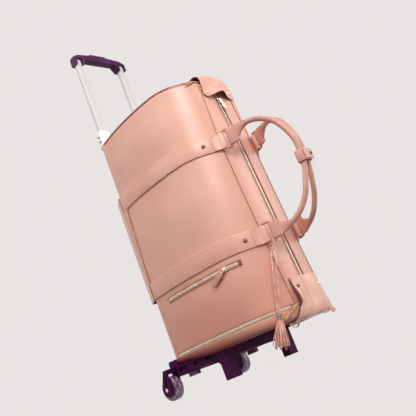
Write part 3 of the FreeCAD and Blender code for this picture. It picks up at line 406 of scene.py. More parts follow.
bodyTones = ((221, 159, 136), (226, 165, 142), (231, 172, 150))
finishLooks = {
    "leather": {
        # The body leather turns darker and redder towards the bottom and the back: painted shade
        "bodyLeather": {"tones": bodyTones, "cloud": 6, "rough": (0.38, 0.5), "coat": 0.9, "soft": 0.12,
                        "grain": 900, "pebble": 0.2,
                        "level": {"way": (0, -0.25, 1), "span": (0.03, 0.24), "tone": (204, 127, 106)}},
        # The lower end's leather turns wine-red low down and towards the back: painted shade on the underside
        "endLeather": {"tones": bodyTones, "cloud": 6, "rough": (0.5, 0.6), "coat": 0.0, "shine": 0.12,
                       "soft": 0.12, "grain": 900, "pebble": 0.2,
                       "level": {"way": (0, -0.10, 1), "span": (0.050, 0.078), "tone": (128, 10, 34)}},
        "bandLeather": {"tones": ((220, 158, 136), (226, 165, 143), (232, 173, 151)), "cloud": 10,
                        "rough": (0.34, 0.46), "coat": 0.7, "soft": 0.1, "grain": 950, "pebble": 0.18},
        "flapLeather": {"tones": ((221, 161, 139), (229, 171, 149), (238, 187, 166)), "cloud": 22,
                        "rough": (0.26, 0.36), "coat": 0.3, "soft": 0.2, "grain": 950, "pebble": 0.16},
        "handleLeather": {"tones": ((200, 138, 123), (209, 149, 134), (221, 166, 150)), "cloud": 24,
                          "rough": (0.3, 0.42), "coat": 0.22, "soft": 0.12, "grain": 1000, "pebble": 0.16},
        "tasselLeather": {"tones": ((196, 130, 112), (220, 160, 142), (238, 190, 174)), "cloud": 60,
                          "rough": (0.36, 0.5), "coat": 0.1, "soft": 0.2, "grain": 1000, "pebble": 0.2},
        # Edge paint, and painted shade where it lies only along the low edge of a band
        "edgePaint": {"tones": ((160, 84, 76), (176, 100, 90), (190, 118, 106)), "cloud": 80,
                      "rough": (0.4, 0.5), "coat": 0.1, "soft": 0.1, "grain": 900, "pebble": 0.1},
        # The dark strips in the seams: painted shade of the gaps between panels
        "seamEdge": {"tones": ((128, 62, 58), (146, 76, 70), (160, 90, 80)), "cloud": 90,
                     "rough": (0.5, 0.6), "coat": 0.0, "soft": 0.1, "grain": 900, "pebble": 0.1},
        "innerLeather": {"tones": ((92, 30, 50), (110, 40, 62), (128, 56, 72)), "cloud": 18,
                         "rough": (0.55, 0.7), "coat": 0.0, "soft": 0.2, "grain": 800, "pebble": 0.2},
        "thread": {"tones": ((206, 150, 134), (220, 166, 150), (232, 182, 166)), "cloud": 300,
                   "rough": (0.55, 0.7), "coat": 0.0, "soft": 0.1, "grain": 1500, "pebble": 0.3},
    },
    "metal": {
        "goldMetal": {"tones": ((226, 194, 166), (246, 222, 200)), "rough": (0.2, 0.32)},
        "brassMetal": {"tones": ((178, 124, 92), (214, 166, 130)), "rough": (0.22, 0.34)},
        "copperMetal": {"tones": ((146, 98, 84), (188, 138, 120)), "rough": (0.2, 0.32)},
        "toothMetal": {"tones": ((206, 194, 168), (236, 228, 208)), "rough": (0.3, 0.44), "metal": 0.6},
        "darkMetal": {"tones": ((104, 78, 70), (138, 108, 98)), "rough": (0.24, 0.36)},
        "tubeMetal": {"tones": ((211, 209, 208), (217, 215, 214)), "rough": (0.42, 0.52),
                      "brush": (6, 6, 0.3), "metal": 0.1,
                      "level": {"way": (0, 0, 1), "span": (0.060, 0.066), "tone": (44, 10, 38)}},
        "steelMetal": {"tones": ((206, 204, 204), (230, 228, 228)), "rough": (0.2, 0.32)},
    },
    "plastic": {
        "basePlastic": {"tones": ((60, 8, 54), (71, 14, 63)), "rough": (0.46, 0.58), "shine": 0.1,
                        "pebble": 0.06},
        "gripPlastic": {"tones": ((66, 22, 66), (80, 33, 79)), "rough": (0.42, 0.54), "shine": 0.22,
                        "pebble": 0.05},
        "collarPlastic": {"tones": ((250, 249, 248), (254, 254, 253)), "rough": (0.28, 0.38), "shine": 0.5,
                          "pebble": 0.02},
        "wheelPlastic": {"tones": ((70, 34, 68), (196, 166, 192)), "rough": (0.12, 0.22), "shine": 0.5,
                         "coat": 0.4, "clear": 0.3, "pebble": 0.03, "cloud": 190},
        "hubPlastic": {"tones": ((96, 60, 90), (138, 104, 130)), "rough": (0.2, 0.34), "shine": 0.4,
                       "coat": 0.2, "pebble": 0.04},
        "softRubber": {"tones": ((96, 58, 88), (116, 78, 106)), "rough": (0.5, 0.65), "shine": 0.3,
                       "pebble": 0.12},
    },
    "cloth": {
        # The tape's pale cream is partly its own colour, partly a painted highlight of the lit hems beside the
        # teeth
        "zipTape": {"tones": ((216, 178, 160), (238, 208, 190)), "weave": 900},
    },
}
makers = {"leather": leatherFinish, "metal": metalFinish, "plastic": plasticFinish, "cloth": clothFinish}
finishes = {}
for group, maker in makers.items():
    for name, look in finishLooks[group].items():
        finishes[name] = maker(name, look)
print("finishes made:", len(finishes))

# Backdrop, floor, lamps and camera

studio = {
    "backdrop": (232, 228, 227),
    "overhead": (0.049, -0.440, 0.897),  # where the soft light comes from
    "ambient": (0.10, 0.80),  # strength from below and from overhead
    "ambientSpan": (-0.8, 0.8),
    "floor": {"tone": (224, 221, 220), "radius": 0.3, "middle": (0, 0.10), "fade": (0.06, 0.27),
              "least": 0.975},
    "lamps": {
        "key": {"from": (-0.66, -1.18, 1.22), "size": 0.55, "power": 11},
        "fill": {"from": (-1.25, 0.10, 1.55), "size": 2.0, "power": 16},
        "front": {"from": (0.9, -1.2, 0.6), "size": 1.2, "power": 8},
    },
}
cameraLook = {"place": (-0.9488, -0.76075, 0.012), "azimuth": -49.875, "elevation": -15.357,
              "roll": -21.587, "lens": 50.804, "sensor": 36}

scene = bpy.context.scene
scene.view_settings.view_transform = "Standard"
world = bpy.data.worlds.new("studio")
scene.world = world
world.use_nodes = True
worldTree = world.node_tree
worldTree.nodes.clear()
lightPath = worldTree.nodes.new("ShaderNodeLightPath")
seen = worldTree.nodes.new("ShaderNodeMath")
seen.operation = "MAXIMUM"
seenToo = worldTree.nodes.new("ShaderNodeMath")
seenToo.operation = "MAXIMUM"
worldTree.links.new(lightPath.outputs["Is Camera Ray"], seen.inputs[0])
worldTree.links.new(lightPath.outputs["Is Glossy Ray"], seen.inputs[1])
worldTree.links.new(seen.outputs[0], seenToo.inputs[0])
worldTree.links.new(lightPath.outputs["Is Transmission Ray"], seenToo.inputs[1])
worldMix = worldTree.nodes.new("ShaderNodeMixShader")
worldTree.links.new(seenToo.outputs[0], worldMix.inputs["Fac"])
lights = []
for socket in (1, 2):
    light = worldTree.nodes.new("ShaderNodeBackground")
    light.inputs["Color"].default_value = tone(*studio["backdrop"])
    worldTree.links.new(light.outputs[0], worldMix.inputs[socket])
    lights.append(light)
lights[1].inputs["Strength"].default_value = 1.0
overhead = worldTree.nodes.new("ShaderNodeVectorMath")  # dims the light that comes from below
overhead.operation = "DOT_PRODUCT"
overhead.inputs[1].default_value = studio["overhead"]
worldTree.links.new(worldTree.nodes.new("ShaderNodeTexCoord").outputs["Generated"], overhead.inputs[0])
ambient = linkRange(worldTree, overhead.outputs["Value"], *studio["ambient"], *studio["ambientSpan"])
worldTree.links.new(ambient, lights[0].inputs["Strength"])
worldOut = worldTree.nodes.new("ShaderNodeOutputWorld")
worldTree.links.new(worldMix.outputs[0], worldOut.inputs["Surface"])

floorFinish, floorTree, floorShader = startFinish("floorFinish")
floorLook = studio["floor"]
floorTones = tone(*floorLook["tone"]), tone(*[v + 2 for v in floorLook["tone"]])
floorShade = linkRamp(floorTree, linkNoise(floorTree, 7, 3.0), ((0.3, floorTones[0]), (0.7, floorTones[1])))
floorTree.links.new(floorShade, floorShader.inputs["Base Color"])
floorShader.inputs["Roughness"].default_value = 0.9
floorShader.inputs["Specular IOR Level"].default_value = 0.1
radial = floorTree.nodes.new("ShaderNodeVectorMath")
radial.operation = "LENGTH"
floorTree.links.new(linkCoords(floorTree), radial.inputs[0])
floorFade = linkRange(floorTree, radial.outputs["Value"], floorLook["least"], 1.0, *floorLook["fade"])
floorMix = floorTree.nodes.new("ShaderNodeMixShader")
floorClear = floorTree.nodes.new("ShaderNodeBsdfTransparent")
floorTree.links.new(floorFade, floorMix.inputs["Fac"])
floorTree.links.new(floorShader.outputs[0], floorMix.inputs[1])
floorTree.links.new(floorClear.outputs[0], floorMix.inputs[2])
floorTree.links.new(floorMix.outputs[0], floorTree.nodes["Material Output"].inputs["Surface"])
ring = circle(floorLook["radius"], 96)
floorMesh = bpy.data.meshes.new("floor")
floorMesh.from_pydata([(x, y, 0) for x, y in ring], [], [tuple(range(96))])
floorMesh.materials.append(floorFinish)
floor = bpy.data.objects.new("floor", floorMesh)
floor.location = (*floorLook["middle"], -0.0004)
scene.collection.objects.link(floor)

middle = (cadBox[0] + cadBox[1]) / 2
for name, lamp in studio["lamps"].items():
    data = bpy.data.lights.new(name, "AREA")
    data.energy = lamp["power"]
    data.size = lamp["size"]
    holder = bpy.data.objects.new(name, data)
    holder.location = lamp["from"]
    holder.rotation_euler = (middle - holder.location).to_track_quat("-Z", "Y").to_euler()
    scene.collection.objects.link(holder)

turn, lift, roll = (math.radians(cameraLook[k]) for k in ("azimuth", "elevation", "roll"))
back = Vector((math.sin(turn) * math.cos(lift), -math.cos(turn) * math.cos(lift), math.sin(lift)))
right = Vector((math.cos(turn), math.sin(turn), 0))
upward = back.cross(right)
rolledRight = math.cos(roll) * right + math.sin(roll) * upward
rolledUp = -math.sin(roll) * right + math.cos(roll) * upward
cameraData = bpy.data.cameras.new("camera")
cameraData.lens = cameraLook["lens"]
cameraData.sensor_width = cameraLook["sensor"]
cameraData.clip_start = 0.02
camera = bpy.data.objects.new("camera", cameraData)
cameraAxes = Matrix((rolledRight, rolledUp, back)).transposed().to_4x4()
camera.matrix_world = Matrix.Translation(cameraLook["place"]) @ cameraAxes
scene.collection.objects.link(camera)
scene.camera = camera
print("stage, lamps and camera set")

# The bag's outline: a run s along the skin from the front middle, plus on the left side

bag = {
    "sideRadius": 0.626, "backRadius": 0.026, "shoulderRadius": 0.085, "depth": 0.300, "taper": 0.036,
    "bulgeX": 0.503, "cornerX": 0.08405,
    "frontRise": ((0.08, 0.0060), (0.126, 0.0062), (0.193, 0.0048), (0.26, 0.0030), (0.33, 0.0028),
                  (0.40, 0.0012), (0.46, -0.0006), (0.52, -0.0030), (0.585, -0.0036)),
    "shoulderRise": ((0.08, -0.0020), (0.12, -0.0048), (0.19, -0.0070), (0.30, -0.0068), (0.42, -0.0064),
                     (0.52, -0.0050), (0.585, -0.0040)),
    "frontFade": (0.012, 0.055), "shoulderAt": (0.086, 0.046), "sideFade": (0.11, 0.05), "endFade": 0.03,
    "bayPuff": 0.0022, "unevenness": 0.0004, "zipValley": (0.6, 0.016), "pocketCalm": (0.75, 0.02),
    "leather": {"thick": 0.003, "roll": 0.0014, "step": 0.006},
    "zipHalf": 0.0066, "seamHalf": 0.053, "seamDraw": 0.009, "topGap": 0.0036,
}
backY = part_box("back_panel")[1].y
lowZip = (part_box("lower_end_zipper")[0].z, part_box("lower_end_zipper")[1].z)
highZip = (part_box("upper_end_zipper")[0].z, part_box("upper_end_zipper")[1].z)
topEdge = highZip[1] - bag["topGap"]  # the sides nearly reach the upper end
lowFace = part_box("lower_end_panel")[0].z
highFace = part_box("upper_end_panel")[1].z
bandBoxes = [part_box("band_lower"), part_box("band_upper")]
bandLevels = [(low.z + high.z) / 2 for low, high in bandBoxes]
bandHalf = (bandBoxes[0][1].z - bandBoxes[0][0].z) / 2
pocketLevel = (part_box("pocket_zipper")[0].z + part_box("pocket_zipper")[1].z) / 2
midLevel = joints["carry_left_swing"]["pos_m"][2]

sideRadius, backRadius, shoulderRadius = bag["sideRadius"], bag["backRadius"], bag["shoulderRadius"]
bulgeX, bulgeY = bag["bulgeX"], backY - bag["depth"] / 2
cornerX, cornerY = bag["cornerX"], backY - backRadius
flatCount, shoulderCount, sideCount, cornerCount = 40, 70, 140, 60  # outline points in each stretch
frontSpan = slice(flatCount + shoulderCount)
sideSpan = slice(flatCount, 308)  # where the outline's depth only grows


def frontAt(z):  # the plain front leans back towards the top
    return backY - bag["depth"] - bag["taper"] * (midLevel - z)


def arc(centreX, centreY, radius, angles):
    turns = np.radians(angles)
    return np.stack([centreX + radius * np.cos(turns), centreY + radius * np.sin(turns)], axis=1)


def outlineAt(z):  # left half of the section, from the front middle to the back middle
    shoulderY = frontAt(z) + shoulderRadius
    shoulderX = math.sqrt((sideRadius - shoulderRadius) ** 2 - (shoulderY - bulgeY) ** 2) - bulgeX
    shoulderTurn = math.degrees(math.atan2(shoulderY - bulgeY, -shoulderX - bulgeX)) % 360
    cornerTurn = math.degrees(math.atan2(cornerY - bulgeY, -cornerX - bulgeX)) % 360
    shoulder = np.linspace(270, shoulderTurn, shoulderCount, endpoint=False)
    side = np.linspace(shoulderTurn, cornerTurn, sideCount, endpoint=False)
    corner = np.linspace(cornerTurn, 90, cornerCount, endpoint=False)
    frontLine = np.linspace(0, -shoulderX, flatCount, endpoint=False)
    backLine = np.linspace(-cornerX, 0, flatCount)
    points = [np.stack([frontLine, np.full(flatCount, frontAt(z))], axis=1),
              arc(-shoulderX, shoulderY, shoulderRadius, shoulder),
              arc(bulgeX, bulgeY, sideRadius, side),
              arc(-cornerX, cornerY, backRadius, corner),
              np.stack([backLine, np.full(flatCount, backY)], axis=1)]
    turns = [np.full(flatCount, 270.0), shoulder, side, corner, np.full(flatCount, 90.0)]
    return np.concatenate(points), np.concatenate(turns)


levels = ((lowZip[0] + lowZip[1]) / 2, (highZip[0] + highZip[1]) / 2)
(lowOutline, lowTurns), (highOutline, highTurns) = outlineAt(levels[0]), outlineAt(levels[1])
runPoints, runTurns = (lowOutline + highOutline) / 2, (lowTurns + highTurns) / 2
runAt = runAlong(runPoints)
halfRun = runAt[-1]


def runAtY(y):  # run on the side of the bag at a depth
    return float(np.interp(y, runPoints[sideSpan, 1], runAt[sideSpan]))


backRun = runAtY(cornerY)


def skinRise(s, z):  # how far the stuffed leather stands off the plain outline
    s, z = np.broadcast_arrays(np.asarray(s, float), np.asarray(z, float))
    away = np.abs(s)
    atFront = np.interp(z, *zip(*bag["frontRise"]))
    atShoulder = np.interp(z, *zip(*bag["shoulderRise"]))
    valleyDeep, valleyWide = bag["zipValley"]  # the zip lies a little lower
    valley = 1 - valleyDeep * bell(away, 0, valleyWide) * (atFront > 0)
    fadeFrom, fadeOver = bag["frontFade"]
    rise = atFront * valley * (1 - smooth((away - fadeFrom) / fadeOver))
    rise = rise + atShoulder * bell(away, *bag["shoulderAt"])
    bays = np.zeros_like(z)
    edges = (lowZip[1], bandLevels[0] - bandHalf, bandLevels[0] + bandHalf, bandLevels[1] - bandHalf,
             bandLevels[1] + bandHalf, topEdge)
    for low, high in zip(edges[0::2], edges[1::2]):
        share = np.clip((z - low) / (high - low), 0, 1)
        bays = bays + np.sin(math.pi * share) ** 2
    sideFrom, sideOver = bag["sideFade"]
    onSide = smooth((away - sideFrom) / sideOver) * (1 - smooth((away - backRun + sideOver) / sideOver))
    calm, calmWide = bag["pocketCalm"]
    quiet = 1 - calm * bell(z, pocketLevel, calmWide) * (away < backRun) * (s > 0)
    rise = rise + bag["bayPuff"] * bays * onSide * quiet
    wave = np.sin(31 * s + 9 * z + 0.6) * np.sin(23 * z - 7 * s + 1.1)
    wave = wave + 0.6 * np.sin(57 * s - 21 * z) * np.sin(48 * z + 2)
    fade = smooth((z - lowZip[1]) / bag["endFade"]) * smooth((topEdge - z) / bag["endFade"])
    fade = fade * quiet * (1 - smooth((away - backRun + 0.02) / bag["endFade"]))
    return rise + bag["unevenness"] * wave * fade


def skinTurn(s):
    angle = np.interp(np.abs(s), runAt, runTurns)
    return np.where(np.asarray(s) < 0, 540 - angle, angle)


def skinNormal(s):
    angle = np.radians(skinTurn(s))
    return np.stack([np.cos(angle), np.sin(angle), np.zeros_like(angle)], axis=-1)


def onBag(s, z, out=0.0, puffed=True):
    s, z, out = np.broadcast_arrays(*(np.asarray(v, float) for v in (s, z, out)))
    share = ((z - levels[0]) / (levels[1] - levels[0]))[..., None]
    low, high = (np.stack([np.interp(np.abs(s), runAt, points[:, k]) for k in (0, 1)], axis=-1)
                 for points in (lowOutline, highOutline))
    flat = low + (high - low) * share
    flat = flat * np.stack([np.where(s < 0, -1.0, 1.0), np.ones_like(s)], axis=-1)
    off = out + (skinRise(s, z) if puffed else 0)
    return np.concatenate([flat, z[..., None]], axis=-1) + skinNormal(s) * off[..., None]


def skinSpot(x, y, z):  # run and distance off the skin of a point in front of it
    runs = np.linspace(-0.2, 0.2, 2001)
    base = onBag(runs, np.full(2001, z))[:, :2]
    normal = skinNormal(runs)[:, :2]
    away = np.array([x, y]) - base
    off = np.sum(away * normal, axis=1)
    best = int(np.argmin(np.linalg.norm(away - normal * off[:, None], axis=1) + (off < -0.02)))
    return float(runs[best]), float(off[best])


def rolledLines(low, high, step, roll):  # grid lines, close together where an edge rolls under
    close = np.array([0.0, 0.06, 0.25, 0.6]) * roll
    inner = np.linspace(low + roll, high - roll, max(2, int(round((high - low) / step)) + 1))
    lines = np.concatenate([low + close, inner, high - close[::-1]])
    short = np.clip(1 - np.minimum(lines - low, high - lines) / roll, 0, 1)
    return lines, roll * (1 - np.sqrt(np.maximum(0, 1 - short ** 2)))


def skinPanel(sEdges, zEdges, lift, warp, step=None):
    look = bag["leather"]
    sLines, sDrop = rolledLines(*sEdges, step or look["step"], look["roll"])
    zLines, zDrop = rolledLines(*zEdges, step or look["step"], look["roll"])
    s, z = np.meshgrid(sLines, zLines, indexing="ij")
    out = lift(s, z) - np.maximum(sDrop[:, None], zDrop[None, :])
    s = warp(s, z)
    return slabGrid(onBag(s, z, out), onBag(s, z, -look["thick"]))


def wrapRun(s):  # a run past the back middle comes round on the other side
    return np.where(s > halfRun, s - 2 * halfRun, s)


def skinStrip(sLine, level, section, mark=0, sectionMarks=None):  # (across, out) carried along a run
    section = np.asarray(section, float)
    s = wrapRun(np.asarray(sLine, float))
    z = np.broadcast_to(np.asarray(level, float), s.shape)
    rings = onBag(s[:, None], z[:, None] + section[None, :, 0], section[None, :, 1])
    return loft(rings, mark=mark, ringMarks=sectionMarks)


def strapSection(half, low, high, corner):  # a flat strap's section of (across, out)
    shape = rounded(2 * half, high - low, corner)
    return np.stack([shape[:, 0], shape[:, 1] + (high + low) / 2], axis=1)


stitchLook = {"long": 0.0042, "gap": 0.0022, "wide": 0.0009, "high": 0.0005,
              "section": ((-1, -0.4), (0, 1), (1, -0.4), (0, -0.8)), "swell": (0.55, 1, 0.55)}
threads = {}


def stitch(path, normals, body="frame"):  # a row of thread lengths lying on a surface
    path = np.asarray(path, float)
    normals = np.broadcast_to(np.asarray(normals, float), path.shape)
    run = runAlong(path)
    gap, half, high = stitchLook["gap"], stitchLook["wide"] / 2, stitchLook["high"]
    count = int(run[-1] / (stitchLook["long"] + gap))
    if count < 1:
        return
    pitch = run[-1] / count
    for start in np.arange(count) * pitch + gap / 2:
        at = start + np.array([0, 0.5, 1]) * (pitch - gap)
        spots = valueAt(at, run, path)
        normal = unit(valueAt(at, run, normals))
        side = np.cross(normal, unit(spots[2] - spots[0]))
        rings = []
        for spot, n, sd, size in zip(spots, normal, side, stitchLook["swell"]):
            rings.append([spot + sd * a * half * size + n * b * high * size
                          for a, b in stitchLook["section"]])
        threads.setdefault(body, []).append(loft(rings))


def stitchRun(sLine, level, out):
    s = wrapRun(np.asarray(sLine, float))
    z = np.broadcast_to(np.asarray(level, float), s.shape)
    stitch(onBag(s, z, out), skinNormal(s))


toothLook = {"levels": ((0, 1), (0.7, 1), (1, 0.7)), "half": 0.34, "deep": 0.465, "stagger": 0.16}


def teeth(path, normals, look):  # two rows of teeth that mesh along a path
    path = np.asarray(path, float)
    normals = np.broadcast_to(np.asarray(normals, float), path.shape)
    run = runAlong(path)
    count = int(run[-1] / look["pitch"])
    shapes = []
    for i in range(count):
        at = (i + 0.5) * run[-1] / count
        along = unit(valueAt(at + 1e-3, run, path) - valueAt(at - 1e-3, run, path))
        normal = unit(valueAt(at, run, normals))
        side = np.cross(normal, along)
        away = 1 if i % 2 else -1
        spot = valueAt(at, run, path) + side * away * look["wide"] * toothLook["stagger"]
        rings = []
        for level, size in toothLook["levels"]:
            half = look["wide"] * toothLook["half"] * (0.6 + 0.4 * size)
            deep = look["pitch"] * toothLook["deep"] * (0.55 + 0.45 * size)
            rings.append([spot + side * a * half + along * b * deep + normal * level * look["high"]
                          for a, b in ((-1, -1), (1, -1), (1, 1), (-1, 1))])
        shapes.append(loft(rings))
    return gather(shapes)


print("outline ready, half run", round(halfRun, 4))

# Leather panels of the bag, with a folded hem beside the zip and a lapped seam towards the sides

seamLook = {
    "hem": {"high": 0.0010, "edge": 0.0118, "over": 0.0016, "half": 0.0006, "lift": 0.0005},
    "lap": {"high": 0.0006, "edge": 0.058, "over": 0.006, "half": 0.0009, "lift": 0.0},
    "hemLine": 0.0072, "hemStitch": 0.0102, "lapStitch": 0.0042, "drawFrom": 0.42, "drawOver": 0.14,
    "gap": 0.0001, "seamShadeRise": (-0.001, 0.0007, 0.0007, -0.001), "seamShadeEdge": 0.0002, "seamShadeDepth": -0.002,
}
hem, lap = seamLook["hem"], seamLook["lap"]


def edgeLift(look):  # the leather stands higher beside a seam
    return lambda s, z: look["high"] * (1 - smooth((np.abs(s) - look["edge"]) / look["over"]))


def seamAt(z):  # the seam draws in towards the upper flap
    return bag["seamHalf"] - bag["seamDraw"] * smooth((z - seamLook["drawFrom"]) / seamLook["drawOver"])


def gussetWarp(s, z):
    share = (np.abs(s) - bag["zipHalf"]) / (bag["seamHalf"] - bag["zipHalf"])
    return np.sign(s) * (bag["zipHalf"] + share * (seamAt(z) - bag["zipHalf"]))


def sideWarp(s, z):
    share = (np.abs(s) - bag["seamHalf"]) / (backRun - bag["seamHalf"])
    return np.sign(s) * (seamAt(z) + share * (backRun - seamAt(z)))


leatherPair = ["bodyLeather", "innerLeather"]
leatherThick = bag["leather"]["thick"]
zEdges = (lowZip[1] + 0.0001, topEdge)
zLine = np.linspace(zEdges[0] + 0.003, zEdges[1] - 0.003, 90)
zSeamShade = zLine[None, :] * np.ones((4, 1))
hemStitch, hemRun = np.full(90, seamLook["hemStitch"]), np.full(90, seamLook["hemLine"])
lapStitch, lapRun = seamAt(zLine) + seamLook["lapStitch"], seamAt(zLine)
seams = []
for sign, side in ((1, "left"), (-1, "right")):
    strip = sorted((sign * bag["zipHalf"], sign * (bag["seamHalf"] - seamLook["gap"])))
    panel = skinPanel(strip, zEdges, edgeLift(hem), gussetWarp, 0.005)
    addPiece("gusset_skin_" + side, panel, leatherPair, "frame", ["gusset_" + side])
    strip = sorted((sign * (bag["seamHalf"] + seamLook["gap"]), sign * (backRun - 2 * seamLook["gap"])))
    panel = skinPanel(strip, zEdges, edgeLift(lap), sideWarp)
    addPiece("side_skin_" + side, panel, leatherPair, "frame", ["side_panel_" + side])
    for run, look in ((hemStitch, hem), (lapStitch, lap)):
        stitch(onBag(sign * run, zLine, look["high"]), skinNormal(sign * run))
    for run, look in ((lapRun, lap), (hemRun, hem)):  # a dark strip sunk in each seam: painted shade of the seam's gap
        half, rim = look["half"], look["half"] + seamLook["seamShadeEdge"]
        edge = np.array([-rim, -half, half, rim])[:, None] + run[None, :]
        high = np.array(seamLook["seamShadeRise"])[:, None] * np.ones((1, 90)) + look["lift"]
        seams.append(slabGrid(onBag(sign * edge, zSeamShade, high),
                              onBag(sign * edge, zSeamShade, seamLook["seamShadeDepth"]), 0, 0, 0))
addPiece("front_seams", gather(seams), "seamEdge", "frame")

# The back wraps both rear corners and runs up to the fixed rim of the upper end
backLook = {"step": (0.006, 0.008), "roll": 0.0012}
sLines, sDrop = rolledLines(backRun, 2 * halfRun - backRun, backLook["step"][0], backLook["roll"])
zLines, zDrop = rolledLines(lowZip[0], highZip[1], backLook["step"][1], backLook["roll"])
s, z = np.meshgrid(wrapRun(sLines), zLines, indexing="ij")
drop = -np.maximum(sDrop[:, None], zDrop[None, :])
backSheet = slabGrid(onBag(s, z, drop), onBag(s, z, -leatherThick))
addPiece("back_skin", backSheet, leatherPair, "frame")
print("panels made")

# Lower end cap and upper end lid: a rim, a rounded edge and a soft face gathered to a spine


endLook = {"around": 420, "lowRound": 0.010, "highRound": 0.0026, "spineInset": 0.1, "foldGap": 0.0002}


def endLoops(rimZ, faceZ, radius, crown, thick, sag=None):
    down = -1 if faceZ < rimZ else 1
    sLoop = np.linspace(-halfRun, halfRun, endLook["around"], endpoint=False)
    rim = onBag(sLoop, np.full(len(sLoop), rimZ))
    normal = skinNormal(sLoop)
    outer, inner = [], []

    def ring(inset, z, innerInset, innerZ):
        for store, amount, level in ((outer, inset, z), (inner, innerInset, innerZ)):
            loop = rim - normal * amount
            loop[:, 2] = level
            if sag:
                loop[:, 2] -= sag(loop[:, 0], loop[:, 1], abs(level - rimZ) / abs(faceZ - rimZ), 0)
            store.append(loop)

    innerRadius = max(radius - thick, 0.0006)
    ring(0.0012, rimZ, thick, rimZ)
    ring(0.0003, rimZ + down * 0.0005, thick, rimZ + down * 0.0004)
    ring(0.0, rimZ + down * 0.001, thick, rimZ + down * 0.0006)
    straight = faceZ - down * radius
    for angle in np.linspace(0, math.pi / 2, 8):
        ring(radius * (1 - math.cos(angle)), straight + down * radius * math.sin(angle),
             thick + innerRadius * (1 - math.cos(angle)), straight + down * (innerRadius * math.sin(angle)))
    lastOut, lastIn = outer[-1].copy(), inner[-1].copy()
    spineInset = endLook["spineInset"]
    spineY = np.clip(lastOut[:, 1], frontAt(rimZ) + spineInset, backY - spineInset)
    spine = np.stack([np.zeros(len(sLoop)), spineY, np.zeros(len(sLoop))], axis=1)
    for share in np.linspace(0, 1, 19)[1:]:
        for store, last in ((outer, lastOut), (inner, lastIn)):
            loop = last + (spine - last) * share
            loop[:, 2] = faceZ + (0 if store is outer else -down * thick)
            loop[:, 2] += crown(loop[:, 0], loop[:, 1]) * smooth(share * 2.2)
            if sag:
                inset = share * np.linalg.norm((spine - last)[:, :2], axis=1)
                loop[:, 2] -= sag(loop[:, 0], loop[:, 1], 1, inset)
            store.append(loop)
    return outer, inner


def closedShell(outer, inner):
    rows, around = len(outer), len(outer[0])
    points = np.concatenate([np.concatenate(outer), np.concatenate(inner)])
    under = rows * around
    faces, marks = [], []
    for i in range(rows - 1):
        for j in range(around):
            k = (j + 1) % around
            a, b, c, d = i * around + j, i * around + k, (i + 1) * around + k, (i + 1) * around + j
            faces.append((a, b, c, d))
            faces.append((under + a, under + d, under + c, under + b))
            marks += [0, 1]
    for j in range(around):
        k = (j + 1) % around
        faces.append((j, under + j, under + k, k))
        marks.append(0)
    return points, faces, marks


def lowCrown(x, y):  # sags where no frame lies under it
    middleSag = 0.0022 * bell(x, 0, 0.05) * bell(y, 0.13, 0.05)
    return -middleSag - 0.0016 * bell(x, 0, 0.07) * bell(y, 0.0, 0.03)


def highCrown(x, y):  # the lid lies flat
    return 0.0 * x


sagLook = {"deep": 0.0085, "edge": (0.008, 0.034), "beamX": 0.1095, "beamSoft": 0.006, "barY": 0.030,
           "barSoft": 0.008, "fade": (0.05, 0.17)}


def lowSag(x, y, depth, inset):  # the rim hangs outside the frame, most at the front
    edge = 1 - smooth((inset - sagLook["edge"][0]) / (sagLook["edge"][1] - sagLook["edge"][0]))
    overBeam = smooth((sagLook["beamX"] + sagLook["beamSoft"] - np.abs(x)) / sagLook["beamSoft"])
    onFrame = overBeam * smooth((y - sagLook["barY"]) / sagLook["barSoft"])
    front = 1 - smooth((y - sagLook["fade"][0]) / (sagLook["fade"][1] - sagLook["fade"][0]))
    return sagLook["deep"] * smooth(depth) * edge * (1 - onFrame) * front


lowShell = closedShell(*endLoops(lowZip[0], lowFace, endLook["lowRound"], lowCrown, leatherThick, lowSag))
addPiece("lower_end_skin", lowShell, ["endLeather", "innerLeather"], "frame",
         ["lower_end_panel"])


def splitAt(shape, level, front):  # keeps the part of a closed shell on one side of a fold
    mesh = bmesh.new()
    made = [mesh.verts.new(p) for p in shape[0]]
    for face, mark in zip(shape[1], shape[2]):
        corners = [made[i] for i in face]
        if len(set(corners)) > 2:
            try:
                mesh.faces.new(corners).material_index = mark
            except ValueError:
                pass
    bmesh.ops.remove_doubles(mesh, verts=mesh.verts, dist=meshLook["weld"])
    geometry = mesh.verts[:] + mesh.edges[:] + mesh.faces[:]
    cut = bmesh.ops.bisect_plane(mesh, geom=geometry, plane_co=(0, level, 0),
                                 plane_no=(0, 1 if front else -1, 0), clear_outer=True)
    edges = [e for e in cut["geom_cut"] if isinstance(e, bmesh.types.BMEdge)]
    bmesh.ops.edgeloop_fill(mesh, edges=edges)
    mesh.verts.index_update()
    points = [tuple(v.co) for v in mesh.verts]
    faces = [tuple(v.index for v in f.verts) for f in mesh.faces]
    marks = [f.material_index for f in mesh.faces]
    mesh.free()
    return points, faces, marks


foldY = joints["end_lid_open"]["pos_m"][1]
highShell = closedShell(*endLoops(highZip[1], highFace, endLook["highRound"], highCrown, leatherThick))
lid = splitAt(highShell, foldY - endLook["foldGap"], True)
rim = splitAt(highShell, foldY + endLook["foldGap"], False)
addPiece("upper_lid_skin", lid, leatherPair, "end_lid", ["upper_end_panel"])
addPiece("upper_rim_skin", rim, leatherPair, "frame", ["back_panel"])
print("end cap and lid made")

# Zips: tape, two rows of teeth, and the leather lips of the pocket

